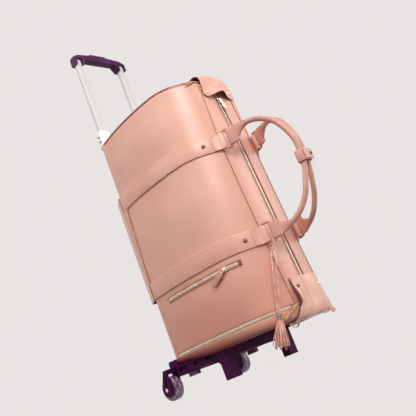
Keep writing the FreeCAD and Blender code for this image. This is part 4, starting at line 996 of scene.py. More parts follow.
zipLook = {
    "main": {"tape": 0.0068, "teeth": {"pitch": 0.0021, "wide": 0.0060, "high": 0.0017},
             "across": (-1, -0.4, -0.36, 0.36, 0.4, 1), "ridge": (0, 0, 0.0006, 0.0006, 0, 0),
             "top": -0.0012, "foot": -0.0022, "toothFoot": -0.0004},
    "lower": {"tape": 0.0039, "teeth": {"pitch": 0.0021, "wide": 0.0042, "high": 0.0015}},
    "upper": {"tape": 0.0018, "teeth": {"pitch": 0.0021, "wide": 0.0018, "high": 0.0010}},
    "pocket": {"tape": 0.0038, "teeth": {"pitch": 0.0021, "wide": 0.0050, "high": 0.0014}, "lip": 0.0015,
               "ends": (0.259, 0.065), "stitch": 0.0084},
}
zipPair = ["zipTape", "toothMetal"]
look = zipLook["main"]
zLine = np.linspace(lowZip[1] + 0.0002, highZip[0] - 0.0002, 130)
across = np.array(look["across"]) * look["tape"]
sGrid, zGrid = np.meshgrid(across, zLine, indexing="ij")
ridge = np.array(look["ridge"])[:, None] * np.ones((1, 130))
tapeTop, tapeFoot = onBag(sGrid, zGrid, look["top"] + ridge), onBag(sGrid, zGrid, look["foot"])
mainTape = slabGrid(tapeTop, tapeFoot, 0, 0, 0)
mainTeeth = teeth(onBag(np.zeros(130), zLine, look["toothFoot"]), (0, -1, 0), look["teeth"])
mainZip = gather([mainTape, remark(mainTeeth, 1)])
addPiece("main_zip", mainZip, zipPair, "frame", ["main_zipper"])

endZipOut = {"foot": -0.0024, "top": -0.0012, "toothFoot": -0.0009}
endLevels = {"lower": (lowZip[0] + lowZip[1]) / 2, "upper": (topEdge + highZip[1]) / 2}
endRun = np.linspace(-backRun + 0.001, backRun - 0.001, 300)
for end, level in endLevels.items():
    half = zipLook[end]["tape"]
    foot, top = endZipOut["foot"], endZipOut["top"]
    tape = skinStrip(endRun, level, [(-half, foot), (half, foot), (half, top), (-half, top)])
    rowLine = onBag(endRun, np.full(300, level), endZipOut["toothFoot"])
    row = teeth(rowLine, skinNormal(endRun), zipLook[end]["teeth"])
    # The upper end zip takes dark teeth: painted shade along the upper zip line
    pair = zipPair if end == "lower" else ["bandLeather", "darkMetal"]
    addPiece(end + "_end_zip", gather([tape, remark(row, 1)]), pair, "frame",
             [end + "_end_zipper"])

look = zipLook["pocket"]
pocketEnds = [runAtY(backY - depth) for depth in look["ends"]]
pocketRun = np.linspace(*pocketEnds, 70)
half = look["tape"]
tape = skinStrip(pocketRun, pocketLevel, [(-half, 0.0), (half, 0.0), (half, 0.0007), (-half, 0.0007)])
row = teeth(onBag(pocketRun, np.full(70, pocketLevel), 0.0006), skinNormal(pocketRun), look["teeth"])
# The dark block at the pocket zip's front end is partly its end stop, partly painted shadow
stopRun = np.linspace(pocketEnds[0] - 0.0035, pocketEnds[0] + 0.0025, 4)
stopAndShadow = skinStrip(stopRun, pocketLevel, strapSection(0.0048, 0.0, 0.0024, 0.0008), mark=2)
lips = []
lipRun = np.linspace(pocketEnds[0] - 0.004, pocketEnds[1] + 0.004, 72)
turns = np.linspace(0, math.pi, 9)
for away in (-1, 1):
    across = away * (half + 0.0008) + look["lip"] * np.cos(turns)
    lip = np.stack([across, look["lip"] * np.sin(turns)], axis=1)
    lips.append(skinStrip(lipRun, pocketLevel, lip))
    stitchRun(lipRun, pocketLevel + away * look["stitch"], 0.0001)
pocketZip = gather([tape, remark(row, 1), stopAndShadow])
addPiece("pocket_zip", pocketZip, zipPair + ["darkMetal"], "frame", ["pocket_zipper"])
addPiece("pocket_lips", gather(lips), "edgePaint", "frame")
print("zips made")

# Sewn bands, ring loops and the trolley sleeve

bandLook = {"thick": 0.0024, "start": 0.0525, "corner": 0.0009, "loopLong": 0.024, "loopHalf": 0.0168,
            "loopRadius": 0.0044, "ringInset": 0.021, "stitchEdge": 0.0035, "loopStitch": 0.003,
            "stitchStops": (0.026, 0.05, 0.079)}  # from the start, to each rear corner and to the end
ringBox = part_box("handle_rings_left")
ringLevels = (ringBox[0].z + bandLook["ringInset"], ringBox[1].z - bandLook["ringInset"])
hingePos = np.array(joints["carry_left_swing"]["pos_m"])
hingeX = abs(hingePos[0])
lowEdgeMarks = [0] * 4 + [1] * 7 + [0] * 5  # edge paint on the band's low edge only, darker there as painted shade under the band


def hingeY(z):  # the hinge line leans with the front
    return hingePos[1] + bag["taper"] * (z - hingePos[2])


strapPair = ["bandLeather", "edgePaint"]
bandShapes = {"band_lower": [], "band_upper": []}
section = strapSection(bandHalf, 0.0001, bandLook["thick"], bandLook["corner"])
for node, level in zip(bandShapes, bandLevels):
    line = np.linspace(bandLook["start"], 2 * halfRun - bandLook["start"], 260)
    bandShapes[node].append(skinStrip(line, level, section, sectionMarks=lowEdgeMarks))
    for away in (-1, 1):
        first, corner, last = bandLook["stitchStops"]
        row = level + away * (bandHalf - bandLook["stitchEdge"])
        for low, high in ((bandLook["start"] + first, backRun - corner),
                          (2 * halfRun - backRun + corner, 2 * halfRun - last)):
            stitchRun(np.linspace(low, high, 120), row, bandLook["thick"])


def ringLoop(sign, level):  # leather folded round the ring bar and sewn down on the band
    hingeRun, centre = skinSpot(-sign * hingeX, hingeY(level), level)
    hingeRun = abs(hingeRun)
    radius, long, inset = bandLook["loopRadius"], bandLook["loopLong"], bandLook["loopStitch"]
    profile = [(long, 0.0024), (long, 0.0040), (long - 0.001, 0.0046), (0.0125, 0.0056), (0.0075, 0.0080)]
    for angle in np.radians(np.linspace(70, 250, 14)):
        profile.append((radius * math.cos(angle), centre + radius * math.sin(angle)))
    profile.append((0.006, 0.0018))
    profile = np.array(profile)
    middleOf = profile.mean(axis=0)
    rings = []
    for share, size in stations((1, 0.86), (0.985, 0.95), (0.94, 1)):
        flat = middleOf + (profile - middleOf) * np.array([0.5 + 0.5 * size, size])
        z = np.full(len(flat), level + share * bandLook["loopHalf"])
        rings.append(onBag(sign * (hingeRun + flat[:, 0]), z, flat[:, 1]))
    for away in (-1, 1):
        line = np.linspace(0.012, long - inset, 12)
        stitchRun(sign * (hingeRun + line), level + away * (bandLook["loopHalf"] - inset), 0.0054)
    line = np.linspace(-1, 1, 16) * (bandLook["loopHalf"] - inset)
    run = np.full(16, sign * (hingeRun + long - inset))
    stitch(onBag(run, level + line, 0.0048), skinNormal(run))
    return loft(rings)


for node, level in zip(bandShapes, ringLevels):
    for sign in (1, -1):
        bandShapes[node].append(ringLoop(sign, level))
for node, shapes in bandShapes.items():
    addPiece(node + "_strap", gather(shapes), strapPair, "frame", [node])

# The sleeve spans the tubes at the back and flows into the bands round each rear corner
sleeveLook = {"front": 0.029, "foot": 0.015, "corner": 0.009, "overBand": 0.012, "thick": 0.0025,
              "tunnel": 0.0031, "wrapX": 0.076, "wrapBack": 0.018, "turns": (130, 140),
              "edgeOut": (0.0021, 0.0002), "bow": 0.0012}
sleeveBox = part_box("trolley_sleeve")
sleeveLow, sleeveHigh = sleeveBox[0].z, sleeveBox[1].z
wrapX, wrapY = sleeveLook["wrapX"], backY + sleeveLook["wrapBack"]
wrapRadius = sleeveBox[1].y - sleeveLook["thick"] - wrapY
bandGap = (bandLevels[0] + bandHalf, bandLevels[1] - bandHalf)


def sleeveEdge(z):  # run of the front edge, and whether a band lies below it
    low, high = bandGap
    if z <= low or z >= high:
        return runAtY(backY - sleeveLook["overBand"]), True
    front = sleeveLook["foot"] + (sleeveLook["front"] - sleeveLook["foot"]) * (z - low) / (high - low)
    corner = sleeveLook["corner"]
    short = max(0.0, 1 - (high - z) / corner)
    flare = corner * (1 - math.sqrt(max(0.0, 1 - short ** 2)))
    return runAtY(backY - front - flare), False


sleeveTurn, sleeveBend = (float(np.interp(-angle, -runTurns, runAt)) for angle in sleeveLook["turns"])


def sleevePath(out, z, edgeOut):  # half of a level section, from the front edge to the back middle
    start, onBand = sleeveEdge(z)
    if onBand:
        edgeOut = edgeOut + bandLook["thick"]
    sLine = np.linspace(start, sleeveTurn, 26)
    hug = start + (sleeveBend - start) * (1 - smooth((z - bandGap[0]) / (bandGap[1] - bandGap[0])))
    off = edgeOut + (out - edgeOut) * smooth((sLine - hug) / (sleeveTurn - hug))
    points = onBag(sLine, np.full(26, z), off)[:, :2]
    radius = wrapRadius + out - sleeveLook["tunnel"]
    flat = np.stack([np.linspace(-wrapX + 0.006, 0, 12), np.full(12, wrapY + radius)], axis=1)
    return np.concatenate([points, arc(-wrapX, wrapY, radius, np.linspace(165, 90, 14)), flat])


edges = sleeveLook["corner"] * np.array([0.0, 0.03, 0.1, 0.25, 0.5, 1.0])
zLines = np.concatenate([[sleeveLow, sleeveLow + 0.001],
                         np.linspace(sleeveLow + 0.006, bandGap[0] - 0.0004, 5),
                         bandGap[0] + 0.0001 + edges, np.linspace(0.25, 0.41, 24),
                         bandGap[1] - 0.0001 - edges[::-1],
                         np.linspace(bandGap[1] + 0.0004, sleeveHigh - 0.006, 5),
                         [sleeveHigh - 0.001, sleeveHigh]])
zLines = np.unique(np.round(zLines, 6))
mirror = np.array([-1, 1])
sheets = []
sheetOuts = (sleeveLook["tunnel"] + sleeveLook["thick"], sleeveLook["tunnel"])
for off, edgeOut in zip(sheetOuts, sleeveLook["edgeOut"]):
    halves = [sleevePath(off, z, edgeOut) for z in zLines]
    flat = np.stack([np.concatenate([half, (half * mirror)[::-1][1:]]) for half in halves], axis=1)
    level = np.broadcast_to(zLines[None, :, None], flat.shape[:2] + (1,))
    sheets.append(np.concatenate([flat, level], axis=2))
bow = np.sin(np.linspace(0, math.pi, len(sheets[0])))[:, None]
belly = np.sin(math.pi * (zLines - sleeveLow) / (sleeveHigh - sleeveLow))
sheets[0][:, :, 1] += sleeveLook["bow"] * np.maximum(0, bow - 0.5) * belly
addPiece("sleeve_leather", slabGrid(sheets[0], sheets[1], 0, 2, 1),
         ["bandLeather", "edgePaint", "innerLeather"], "frame", ["trolley_sleeve"])
print("bands and sleeve made")

# Flaps over the two ends of the main zip, laid on the skin by run (plus is left) and share of length

flapLook = {
    "lower": {"sides": (-0.055, 0.042), "waist": 0.001, "thick": 0.0025, "under": 0.024, "gap": 0.0011,
              "wave": 0.0006, "stand": 0.0065, "standFrom": (0.020, 0.022), "standAt": (0.38, 0.2),
              "flare": 0.022, "shadowPeek": 0.0045},
    "upper": {"sides": (-0.060, 0.039), "waist": 0.004, "thick": 0.0025, "lift": 0.0170, "liftAt": -0.004,
              "liftWide": 0.022, "fringe": 0.26, "corner": 0.008, "wrinkle": 0.0016, "flare": 0.0,
              "puff": 0.010, "puffAt": (-0.010, 0.030), "shadowPeek": 0.0},
    "edgeRoll": 0.03,
}
# The flaps' rims take the dark inner leather as painted shade along their edges
flapTrio = ["flapLeather", "innerLeather", "innerLeather"]


def flapSheet(look, place, count):  # place(s, share, off) lays out one side of the strap
    across, drop = rolledLines(-1, 1, 0.05, flapLook["edgeRoll"])
    share = np.linspace(0, 1, count)
    right, left = look["sides"]
    waist = look["waist"] * np.sin(math.pi * share) ** 2 - look["flare"] * smooth((share - 0.5) / 0.24)
    s = (left + right) / 2 + across[None, :] * ((left - right) / 2 - waist[:, None])
    atEnds = np.where((share < 0.012) | (share > 0.988), 1, 0)
    drop = np.maximum(drop[None, :] / flapLook["edgeRoll"], atEnds[:, None])
    grid = np.broadcast_to(share[:, None], s.shape)
    outer = place(s, grid, look["thick"] * (1 - 0.42 * drop))
    # The dark inner sheet reaches past one edge of the flap as a painted shadow gap
    peek = look["shadowPeek"] * smooth((across - 0.8) / 0.2)[None, :] * bell(share, 0.42, 0.3)[:, None]
    inner = place(s + peek, grid, 0.0008 * drop)
    return slabGrid(outer, inner, 0, 2, 1), outer, s


def onFlap(outer, runs, share, run):  # a spot and its normal on a flap's outer face
    i = min(int(share * (len(outer) - 1)), len(outer) - 2)
    j = int(np.argmin(np.abs(runs[i] - run)))
    normal = unit(np.cross(outer[i + 1, j] - outer[i - 1, j], outer[i, j + 1] - outer[i, j - 1]))
    return outer[i, j], normal if normal @ skinNormal(run) > 0 else -normal


def lowerPlace(s, share, off):  # down the front, round the rim and under
    look = flapLook["lower"]
    radius, top = endLook["lowRound"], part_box("lower_flap")[1].z
    lengths = np.cumsum([top - lowFace - radius, radius * math.pi / 2, look["under"]])
    run = share * lengths[2]
    standFrom, standOver = look["standFrom"]
    stand = look["stand"] * smooth((s - standFrom) / standOver) * bell(share, *look["standAt"])
    off = off + look["gap"] + look["wave"] * np.sin(60 * s + 9 * share) + stand
    z = np.maximum(top - run, lowFace + radius)
    base = onBag(s, np.maximum(z, lowZip[0]))
    angle = np.clip((run - lengths[0]) / radius, 0, math.pi / 2)
    reach = np.where(run < lengths[0], off, (radius + off) * np.cos(angle) - radius)
    spot = base + skinNormal(s) * reach[..., None]
    spot[..., 1] += np.maximum(run - lengths[1], 0)
    spot[..., 2] = z - np.where(run < lengths[0], 0, (radius + off) * np.sin(angle))
    depth = np.clip((lowZip[0] - spot[..., 2]) / (lowZip[0] - lowFace), 0, 1)
    spot[..., 2] -= lowSag(spot[..., 0], spot[..., 1], depth, np.maximum(run - lengths[1], 0))
    return spot


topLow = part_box("upper_flap")[0].z
topCurve = curveThrough([(0.0012, topLow), (0.0018, topLow + 0.014), (0.0016, highFace - 0.010),
                         (-0.0002, highFace + 0.0030), (-0.0055, highFace + 0.0105),
                         (-0.0150, highFace + 0.0136), (-0.0280, highFace + 0.0104),
                         (-0.0400, highFace + 0.0030), (-0.0500, highFace + 0.0006)], 90)
topTurn = unit(np.gradient(topCurve, axis=0))


def upperPlace(s, share, off):  # up the front and over the lid in a soft arch
    look = flapLook["upper"]
    at = share * (len(topCurve) - 1)
    lines = np.arange(len(topCurve))
    out, z, goOut, goUp = (np.interp(at, lines, line) for line in (*topCurve.T, *topTurn.T))
    fringe = 1 - smooth(share / look["fringe"])
    lift = look["lift"] * fringe * bell(s, look["liftAt"], look["liftWide"])
    wrinkle = np.sin(70 * s + 5 * share) * np.sin(8 * share + 35 * s)
    wrinkle = wrinkle + 0.6 * bell(s, 0.004, 0.006) * smooth(share * 3)
    off = off + lift + look["wrinkle"] * wrinkle * smooth(share * 5) * smooth((1 - share) * 6)
    swell = np.sin(math.pi * np.clip((share - 0.2) / 0.8, 0, 1)) ** 2
    off = off + look["puff"] * bell(s, *look["puffAt"]) * swell
    middleOf, half = sum(look["sides"]) / 2, (look["sides"][1] - look["sides"][0]) / 2
    short = np.clip((np.abs(s - middleOf) - half + look["corner"]) / look["corner"], 0, 1)
    rise = look["corner"] * (1 - np.sqrt(np.maximum(0, 1 - short ** 2))) + 0.5 * lift
    out = out + goUp * off
    z = z - goOut * off + rise * fringe
    blend = smooth((out + 0.012) / 0.012)[..., None]
    way = skinNormal(s) * blend + np.array([0, -1.0, 0]) * (1 - blend)
    spot = onBag(s, np.minimum(z, topEdge)) + way * out[..., None]
    spot[..., 2] = z
    return spot


lowFlap, lowOuterFace, lowRuns = flapSheet(flapLook["lower"], lowerPlace, 72)
addPiece("lower_flap_leather", lowFlap, flapTrio, "frame", ["lower_flap"])
topFlap, topOuterFace, topRuns = flapSheet(flapLook["upper"], upperPlace, 84)
addPiece("upper_flap_leather", topFlap, flapTrio, "end_lid", ["upper_flap"])
print("flaps made")

# Domed studs

studLook = {"radius": 0.0036, "high": 0.0024, "brim": 0.0008, "band": 0.0042, "turn": 230,
            "lower": ((0.033, 0.20, 0), (-0.038, 0.25, 1)),
            "upper": ((0.030, 0.10), (-0.040, 0.16), (-0.053, 0.30))}


def stud(spot, normal, radius, mark=0):
    high, brim = studLook["high"], studLook["brim"]
    profile = [(-0.0006, radius * 0.92), (0.0004, radius), (brim, radius * 0.98)]
    for angle in np.linspace(0.1, 1.45, 6):
        profile.append((brim + high * math.sin(angle), radius * 0.93 * math.cos(angle)))
    profile.append((brim + high, radius * 0.03))
    return turned(profile, spot, normal, 20, mark)


studs = []
studRun = float(np.interp(-studLook["turn"], -runTurns, runAt))
for sign in (1, -1):
    for level in bandLevels:
        spot = onBag(sign * studRun, level, bandLook["thick"])
        studs.append(stud(spot, skinNormal(sign * studRun), studLook["band"]))
# The lower flap's first stud is dark metal beside a gold one: a painted dark reflection on a gold stud
for run, share, mark in studLook["lower"]:
    studs.append(stud(*onFlap(lowOuterFace, lowRuns, share, run), studLook["radius"], mark))
addPiece("band_and_flap_studs", gather(studs), ["darkMetal", "goldMetal"], "frame",
         ["leather_studs"])
studs = []
for run, share in studLook["upper"]:
    studs.append(stud(*onFlap(topOuterFace, topRuns, share, run), studLook["radius"]))
addPiece("upper_flap_domes", gather(studs), "goldMetal", "end_lid", ["upper_flap_studs"])

# Carry handles, their rings and the keeper

handleLook = {
    "tube": 0.0053, "tabHalf": 0.0168, "tabThick": 0.0044, "tabEnd": 0.038, "fold": 0.0042, "seam": 0.0006,
    "lean": 21.3, "rings": 190, "stitch": (0.006, 0.046),
    "path": ((0.0135, 0.4344), (0.026, 0.4385), (0.039, 0.4425), (0.055, 0.4448), (0.068, 0.4435),
             (0.080, 0.4393), (0.092, 0.432), (0.103, 0.423), (0.111, 0.4125), (0.118, 0.399),
             (0.123, 0.386), (0.127, 0.371), (0.1285, 0.357), (0.128, 0.343), (0.1265, 0.328),
             (0.1235, 0.311), (0.1185, 0.296), (0.1115, 0.279), (0.103, 0.262), (0.092, 0.2475),
             (0.079, 0.235), (0.067, 0.2275), (0.055, 0.2225), (0.043, 0.2215), (0.030, 0.2225),
             (0.0135, 0.2256)),
}


def handleFrame(sign):  # hinge point, way out and way up of one handle
    lean = math.radians(handleLook["lean"])
    up = unit((0, bag["taper"], 1))
    out = np.array([-sign * math.sin(lean), -math.cos(lean), bag["taper"] * math.cos(lean)])
    return np.array([sign * hingeX, hingePos[1], hingePos[2]]), out, up


def handleShape(sign, body):
    hinge, out, up = handleFrame(sign)
    count = handleLook["rings"]
    flat = curveThrough(handleLook["path"], count)
    run = runAlong(flat)
    path = hinge + flat[:, :1] * out + (flat[:, 1:] - hingePos[2]) * up
    thickDir = unit(np.cross(out, up))
    wideDir = unit(np.cross(thickDir, unit(np.gradient(path, axis=0))))
    tube = smooth((np.minimum(run, run[-1] - run) - 0.006) / handleLook["tabEnd"])
    wide = handleLook["tabHalf"] * (1 - tube) + handleLook["tube"] * tube
    thick = handleLook["tabThick"] / 2 * (1 - tube) + handleLook["tube"] * tube
    turns = np.linspace(0, 2 * math.pi, 28, endpoint=False)
    cosine, sine = np.cos(turns), np.sin(turns)
    rings = []
    for i in range(count):
        power = 0.45 + 0.55 * tube[i]
        a = wide[i] * np.sign(cosine) * np.abs(cosine) ** power
        b = thick[i] * np.sign(sine) * np.abs(sine) ** power
        a = a - handleLook["seam"] * tube[i] * np.exp(-((turns - math.pi) / 0.2) ** 2)
        if i in (0, count - 1):
            a, b = a * 0.93, b * 0.6
        rings.append(path[i] + a[:, None] * wideDir[i] + b[:, None] * thickDir)
    shapes = [loft(rings)]
    tabFace, bend = handleLook["tabThick"] / 2, handleLook["fold"]
    fold = [(0.018, tabFace), (0.006, 0.0044)]
    for angle in np.linspace(math.pi / 2, 3 * math.pi / 2, 11):
        fold.append((bend * math.cos(angle), bend * math.sin(angle)))
    fold += [(0.006, -0.0044), (0.018, -tabFace)]
    for level in ringLevels:
        rings = []
        for share, size in stations((1, 0.8), (0.98, 0.94), (0.93, 1)):
            rise = level + share * handleLook["tabHalf"] * 0.97 - hingePos[2]
            rings.append([hinge + out * (0.014 + d * (0.5 + 0.5 * size)) + thickDir * b * size + up * rise
                          for d, b in fold])
        shapes.append(loft(rings))
    near, far = handleLook["stitch"]
    for face in (-1, 1):
        for low, high in ((near, far), (run[-1] - far, run[-1] - near)):
            for edge in (-1, 1):
                spots = np.flatnonzero((run >= low) & (run <= high))
                line = path[spots] + wideDir[spots] * (edge * 0.76 * wide[spots])[:, None]
                stitch(line + thickDir * (face * 0.9 * thick[spots])[:, None], thickDir * face, body)
    return gather(shapes)


for sign, side in ((-1, "left"), (1, "right")):
    addPiece("carry_handle_" + side, handleShape(sign, "carry_" + side), "handleLeather", "carry_" + side,
             ["handle_" + side])

keeperLook = {"thick": 0.0024, "inset": 0.0013, "square": 0.62, "stud": 0.0085, "dome": 0.0034,
              "tip": 0.0185}
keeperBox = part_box("handle_keeper")
keeperMid = (keeperBox[0] + keeperBox[1]) / 2
keeperHalf = (keeperBox[1] - keeperBox[0]) / 2
turns = np.radians(np.linspace(0, 360, 72, endpoint=False))
superX, superY = (np.sign(way) * np.abs(way) ** keeperLook["square"]
                  for way in (np.cos(turns), np.sin(turns)))
keeperRing = np.array(keeperMid) + np.stack([(keeperHalf.x - keeperLook["inset"]) * superX,
                                             (keeperHalf.y - keeperLook["inset"]) * superY,
                                             np.zeros(72)], axis=1)
keeperSide = rounded(keeperLook["thick"], 2 * keeperHalf.z, 0.0009)[:, ::-1]
keeperLoop = sweep(keeperRing, keeperSide, unit(keeperRing - np.array(keeperMid)), closed=True)
overSpots = ((-0.010, -0.0006), (0.0, -0.0017), (0.008, -0.0016), (0.014, -0.0006),
             (keeperLook["tip"], 0.0016))
overPath = curveThrough([(keeperMid.x + x, keeperBox[0].y + y, keeperMid.z) for x, y in overSpots], 24)
overFlap = sweep(overPath, keeperSide * np.array([0.86, 0.9]), (0, -1, 0))
keeper = addPiece("keeper_leather", gather([keeperLoop, overFlap]), "handleLeather", "carry_right",
                  ["handle_keeper"])
studSpot = (keeperMid.x + keeperLook["stud"], keeperBox[0].y - 0.0026, keeperMid.z)
dome = stud(studSpot, (0.1, -1, 0), keeperLook["dome"])
keeperDome = addPiece("keeper_dome", dome, "darkMetal", "carry_right", ["keeper_stud"])
for piece in (keeper, keeperDome):
    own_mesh(piece)
print("handles and keeper made")

# Sliders and pulls

pullLook = {
    "main": {"long": 0.027, "wide": 0.0080, "thick": 0.0017, "slider": (0.0115, 0.0130)},
    "pocket": {"long": 0.034, "wide": 0.0120, "thick": 0.0024, "slider": (0.0105, 0.0120), "at": 0.228,
               "way": (-0.24, 0.84, -0.50)},
    "upper": {"long": 0.016, "wide": 0.0050, "thick": 0.0013, "slider": 0.0076, "at": 0.0595,
              "way": (-0.95, 0.30)},
    "lower": {"long": 0.034, "wide": 0.0052, "thick": 0.0015, "slider": 0.0090, "at": 0.0575,
              "way": (-0.86, 0.50)},
}


def slider(place, along, out, width, long):  # shield body with a bridge
    along, out = unit(along), unit(out)
    side = np.cross(along, out)
    w, l = width / 2, long / 2
    outline = [(-0.62 * w, -l), (0.62 * w, -l), (0.74 * w, -0.2 * l), (w, 0.35 * l), (0.8 * w, l),
               (0.25 * w, 0.8 * l), (-0.25 * w, 0.8 * l), (-0.8 * w, l), (-w, 0.35 * l),
               (-0.74 * w, -0.2 * l)]
    shell = plate(outline, 0.0012, 0.0032, 0.0006, place, side, along)
    bridge = [np.asarray(place) - along * 0.72 * l * math.cos(t) + out * (0.0028 + 0.0022 * math.sin(t))
              for t in np.linspace(0, math.pi, 12)]
    return [shell, sweep(bridge, rounded(width * 0.3, 0.0012, 0.0005, 2), out)]


def pullTab(start, down, out, look, rim=True):  # flat pull, with a raised rim
    long, wide, thick = look["long"], look["wide"], look["thick"]
    down, out = unit(down), unit(out)
    side = unit(np.cross(down, out))
    out = np.cross(side, down)
    outline = rounded(wide, long, wide * 0.3, 4) + np.array([0, long / 2])
    shapes = [plate(outline, 0, thick, thick * 0.3, start, side, down)]
    if rim:
        inside = [(x * 0.8, long / 2 + (y - long / 2) * 0.9) for x, y in outline]
        path = [np.asarray(start) + side * x + down * y + out * thick for x, y in inside]
        shapes.append(sweep(path, circle(thick * 0.32, 8), out, closed=True))
    return shapes


def looseRing(centre, across, down, radius, wire):
    across, down = unit(across), unit(down)
    path = [np.asarray(centre) + across * radius * math.cos(a) + down * radius * 1.2 * math.sin(a)
            for a in np.linspace(0, 2 * math.pi, 24, endpoint=False)]
    return sweep(path, circle(wire, 8), np.cross(across, down), closed=True)


def skinFrame(run, level, out):  # a spot on the skin, its normal and the way along it to the front
    along = unit(onBag(run - 0.002, level) - onBag(run + 0.002, level))
    return onBag(run, level, out), skinNormal(run), along


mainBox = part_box("main_slider")
mainLevel = (mainBox[0].z + mainBox[1].z) / 2 + 0.006
mainSpot = onBag(0.0, mainLevel, 0.0016)
look = pullLook["main"]
shapes = slider(mainSpot, (0, 0, 1), (0, -1, 0), *look["slider"])
shapes += pullTab(mainSpot + np.array([0, -0.0052, 0.003]), (0.10, -0.06, -1), (0, -1, 0), look)
addPiece("main_zip_slider", gather(shapes), "goldMetal", "zip_main",
         ["main_slider", "main_pull"])

look = pullLook["pocket"]
pocketSpot = runAtY(backY - look["at"])
spot, normal, along = skinFrame(pocketSpot, pocketLevel, 0.0006)
pullWay = unit(look["way"])
shapes = slider(spot, along, normal, *look["slider"])
ringCentre = spot + normal * 0.0056 + pullWay * 0.003
shapes.append(looseRing(ringCentre, np.cross(pullWay, normal), pullWay, 0.0032, 0.0009))
addPiece("pocket_zip_slider", gather(shapes), "goldMetal", "zip_pocket", ["pocket_slider"])
reach = np.linspace(0.006, 0.006 + look["long"], 12)
runs, heights = pocketSpot + 0.86 * reach, pocketLevel - 0.5 * reach
ends = 1 - 0.3 * np.clip(1 - np.minimum(reach - reach[0], reach[-1] - reach) / 0.003, 0, 1)
strap = rounded(look["wide"], look["thick"], 0.0009)
pull = sweep(onBag(runs, heights, 0.0056), strap, skinNormal(runs), ends)
addPiece("pocket_zip_pull", pull, "handleLeather", "zip_pocket", ["pocket_pull"])

for end in ("upper", "lower"):
    look = pullLook[end]
    run = float(np.interp(look["at"], -runPoints[frontSpan, 0], runAt[frontSpan]))
    spot, normal, along = skinFrame(run, endLevels[end], -0.0006)
    shapes = slider(spot, along, normal, look["slider"], look["slider"] * 1.2)
    down = along * look["way"][0] - np.array([0, 0, look["way"][1]])
    shapes += pullTab(spot + normal * 0.0042, down, normal, look)
    addPiece(end + "_zip_slider", gather(shapes), "brassMetal", "zip_" + end,
             [end + "_slider"])
print("sliders made")

# Strap ring tabs and the small tab at the end of the lower zip


tabLook = {"reach": 0.0115, "bend": 0.0046, "lower": 1.4, "upper": 1.0}


def ringTab(node, face, down, grow):  # leather strip folded over the ring's bar
    low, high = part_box(node)
    half = (high.x - low.x) / 2 * grow
    y = (low.y + high.y) / 2
    reach, bend = tabLook["reach"], tabLook["bend"]
    profile = [(y - reach, 0.0002), (y - reach, 0.0018), (y - 0.007, 0.0030)]
    for angle in np.radians(np.linspace(150, 30, 10)):
        profile.append((y + bend * math.cos(angle), 0.0050 + bend * math.sin(angle)))
    profile += [(y + 0.007, 0.0030), (y + reach, 0.0018), (y + reach, 0.0002)]
    rings = []
    for share, size in stations((1, 0.8), (0.97, 0.95), (0.9, 1)):
        rings.append([(share * half, py, face + down * pz * size * grow) for py, pz in profile])
    return loft(rings)


for end, body, face, down in (("lower", "frame", lowFace, -1), ("upper", "end_lid", highFace, 1)):
    tab = ringTab(end + "_ring_tab", face, down, tabLook[end])
    addPiece(end + "_ring_leather", tab, "bandLeather", body, [end + "_ring_tab"])

endTabLook = {"long": 0.020, "wide": 0.0095, "thick": 0.0026, "way": (0.50, -0.22, -0.84)}
tabLow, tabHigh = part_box("end_zip_tab")
tabStart = np.array([(tabLow.x + tabHigh.x) / 2 - 0.003, tabLow.y + 0.009, tabHigh.z + 0.003])
tabStart = tabStart + unit(endTabLook["way"]) * 0.005
shapes = pullTab(tabStart, endTabLook["way"], (-0.5, -0.86, 0), endTabLook, rim=False)
addPiece("end_zip_leather", gather(shapes), "bandLeather", "frame", ["end_zip_tab"])

# Charm: lace loop, doubled lace, metal cap and cut leather tassel

charmLook = {"way": (-54.0, 25.0, -176.7), "front": (-0.64, -0.768, 0), "lace": (0.0034, 0.0014),
             "cap": (0.131, 0.143), "end": 0.190, "strands": 30, "strandWide": 0.0036,
             "strandThick": 0.0010, "strandTop": 0.0034, "spread": 0.0145, "tuck": 0.006, "bight": 0.046}
charmTop = np.array(joints["charm_swing"]["pos_m"])
charmDown = unit(charmLook["way"])
charmFront = np.array(charmLook["front"])
charmFront = unit(charmFront - charmDown * float(charmDown @ charmFront))
charmSide = np.cross(charmFront, charmDown)
laceSection = rounded(*charmLook["lace"], 0.0005)
capStart, capEnd = charmLook["cap"]


def charmAt(down, side, front):
    return charmTop + charmDown * down + charmSide * side + charmFront * front


hinge, ringOut, ringUp = handleFrame(-1)
ringSpot = hinge + ringOut * 0.007 + ringUp * (ringLevels[0] - 0.019 - hingePos[2])
between = (ringSpot + charmTop) / 2
laceSpots = ((ringSpot, (0.001, 0.002, -0.0030)), (ringSpot, (0.001, 0.003, 0.0012)),
             (ringSpot, (-0.001, -0.001, 0.0034)), (ringSpot, (-0.003, -0.004, 0.0004)),
             (between, (0, -0.002, 0.0004)), (charmTop, (-0.001, -0.0022, 0.0004)),
             (charmTop, (-0.0022, 0.0004, 0.0010)), (between, (0.001, 0.003, 0)),
             (ringSpot, (0, 0.003, -0.0024)))
lacePath = curveThrough([spot + np.array(shift) for spot, shift in laceSpots], 70)
addPiece("charm_lace_loop", sweep(lacePath, laceSection, (1, 0.2, 0.1)), "tasselLeather", "frame",
         ["charm_thong"])
strapSpots = ((0.001, 0.0005, 0.0016), (0.02, 0.0032, 0.0012), (0.06, 0.0036, -0.0008),
              (0.1, 0.0026, 0.0006), (capStart + 0.002, 0.0020, 0))
laces = []
for side in (-1, 1):
    line = curveThrough([charmAt(down, side * a, side * b) for down, a, b in strapSpots], 60)
    laces.append(sweep(line, laceSection, charmFront))
long = charmLook["bight"]
bightSpots = ((0.0015, 0.001, 0.002), (0.35 * long, 0.0095, 0.0045), (0.8 * long, 0.0140, 0.0055),
              (long, 0.0105, 0.0060), (0.84 * long, 0.0050, 0.0050), (0.4 * long, 0.0020, 0.0040),
              (0.004, -0.0005, 0.0030))
bight = curveThrough([charmAt(*spot) for spot in bightSpots], 60)
laces.append(sweep(bight, laceSection, charmFront))
addPiece("charm_laces", gather(laces), "tasselLeather", "charm", ["charm_strap"])
capLong = capEnd - capStart
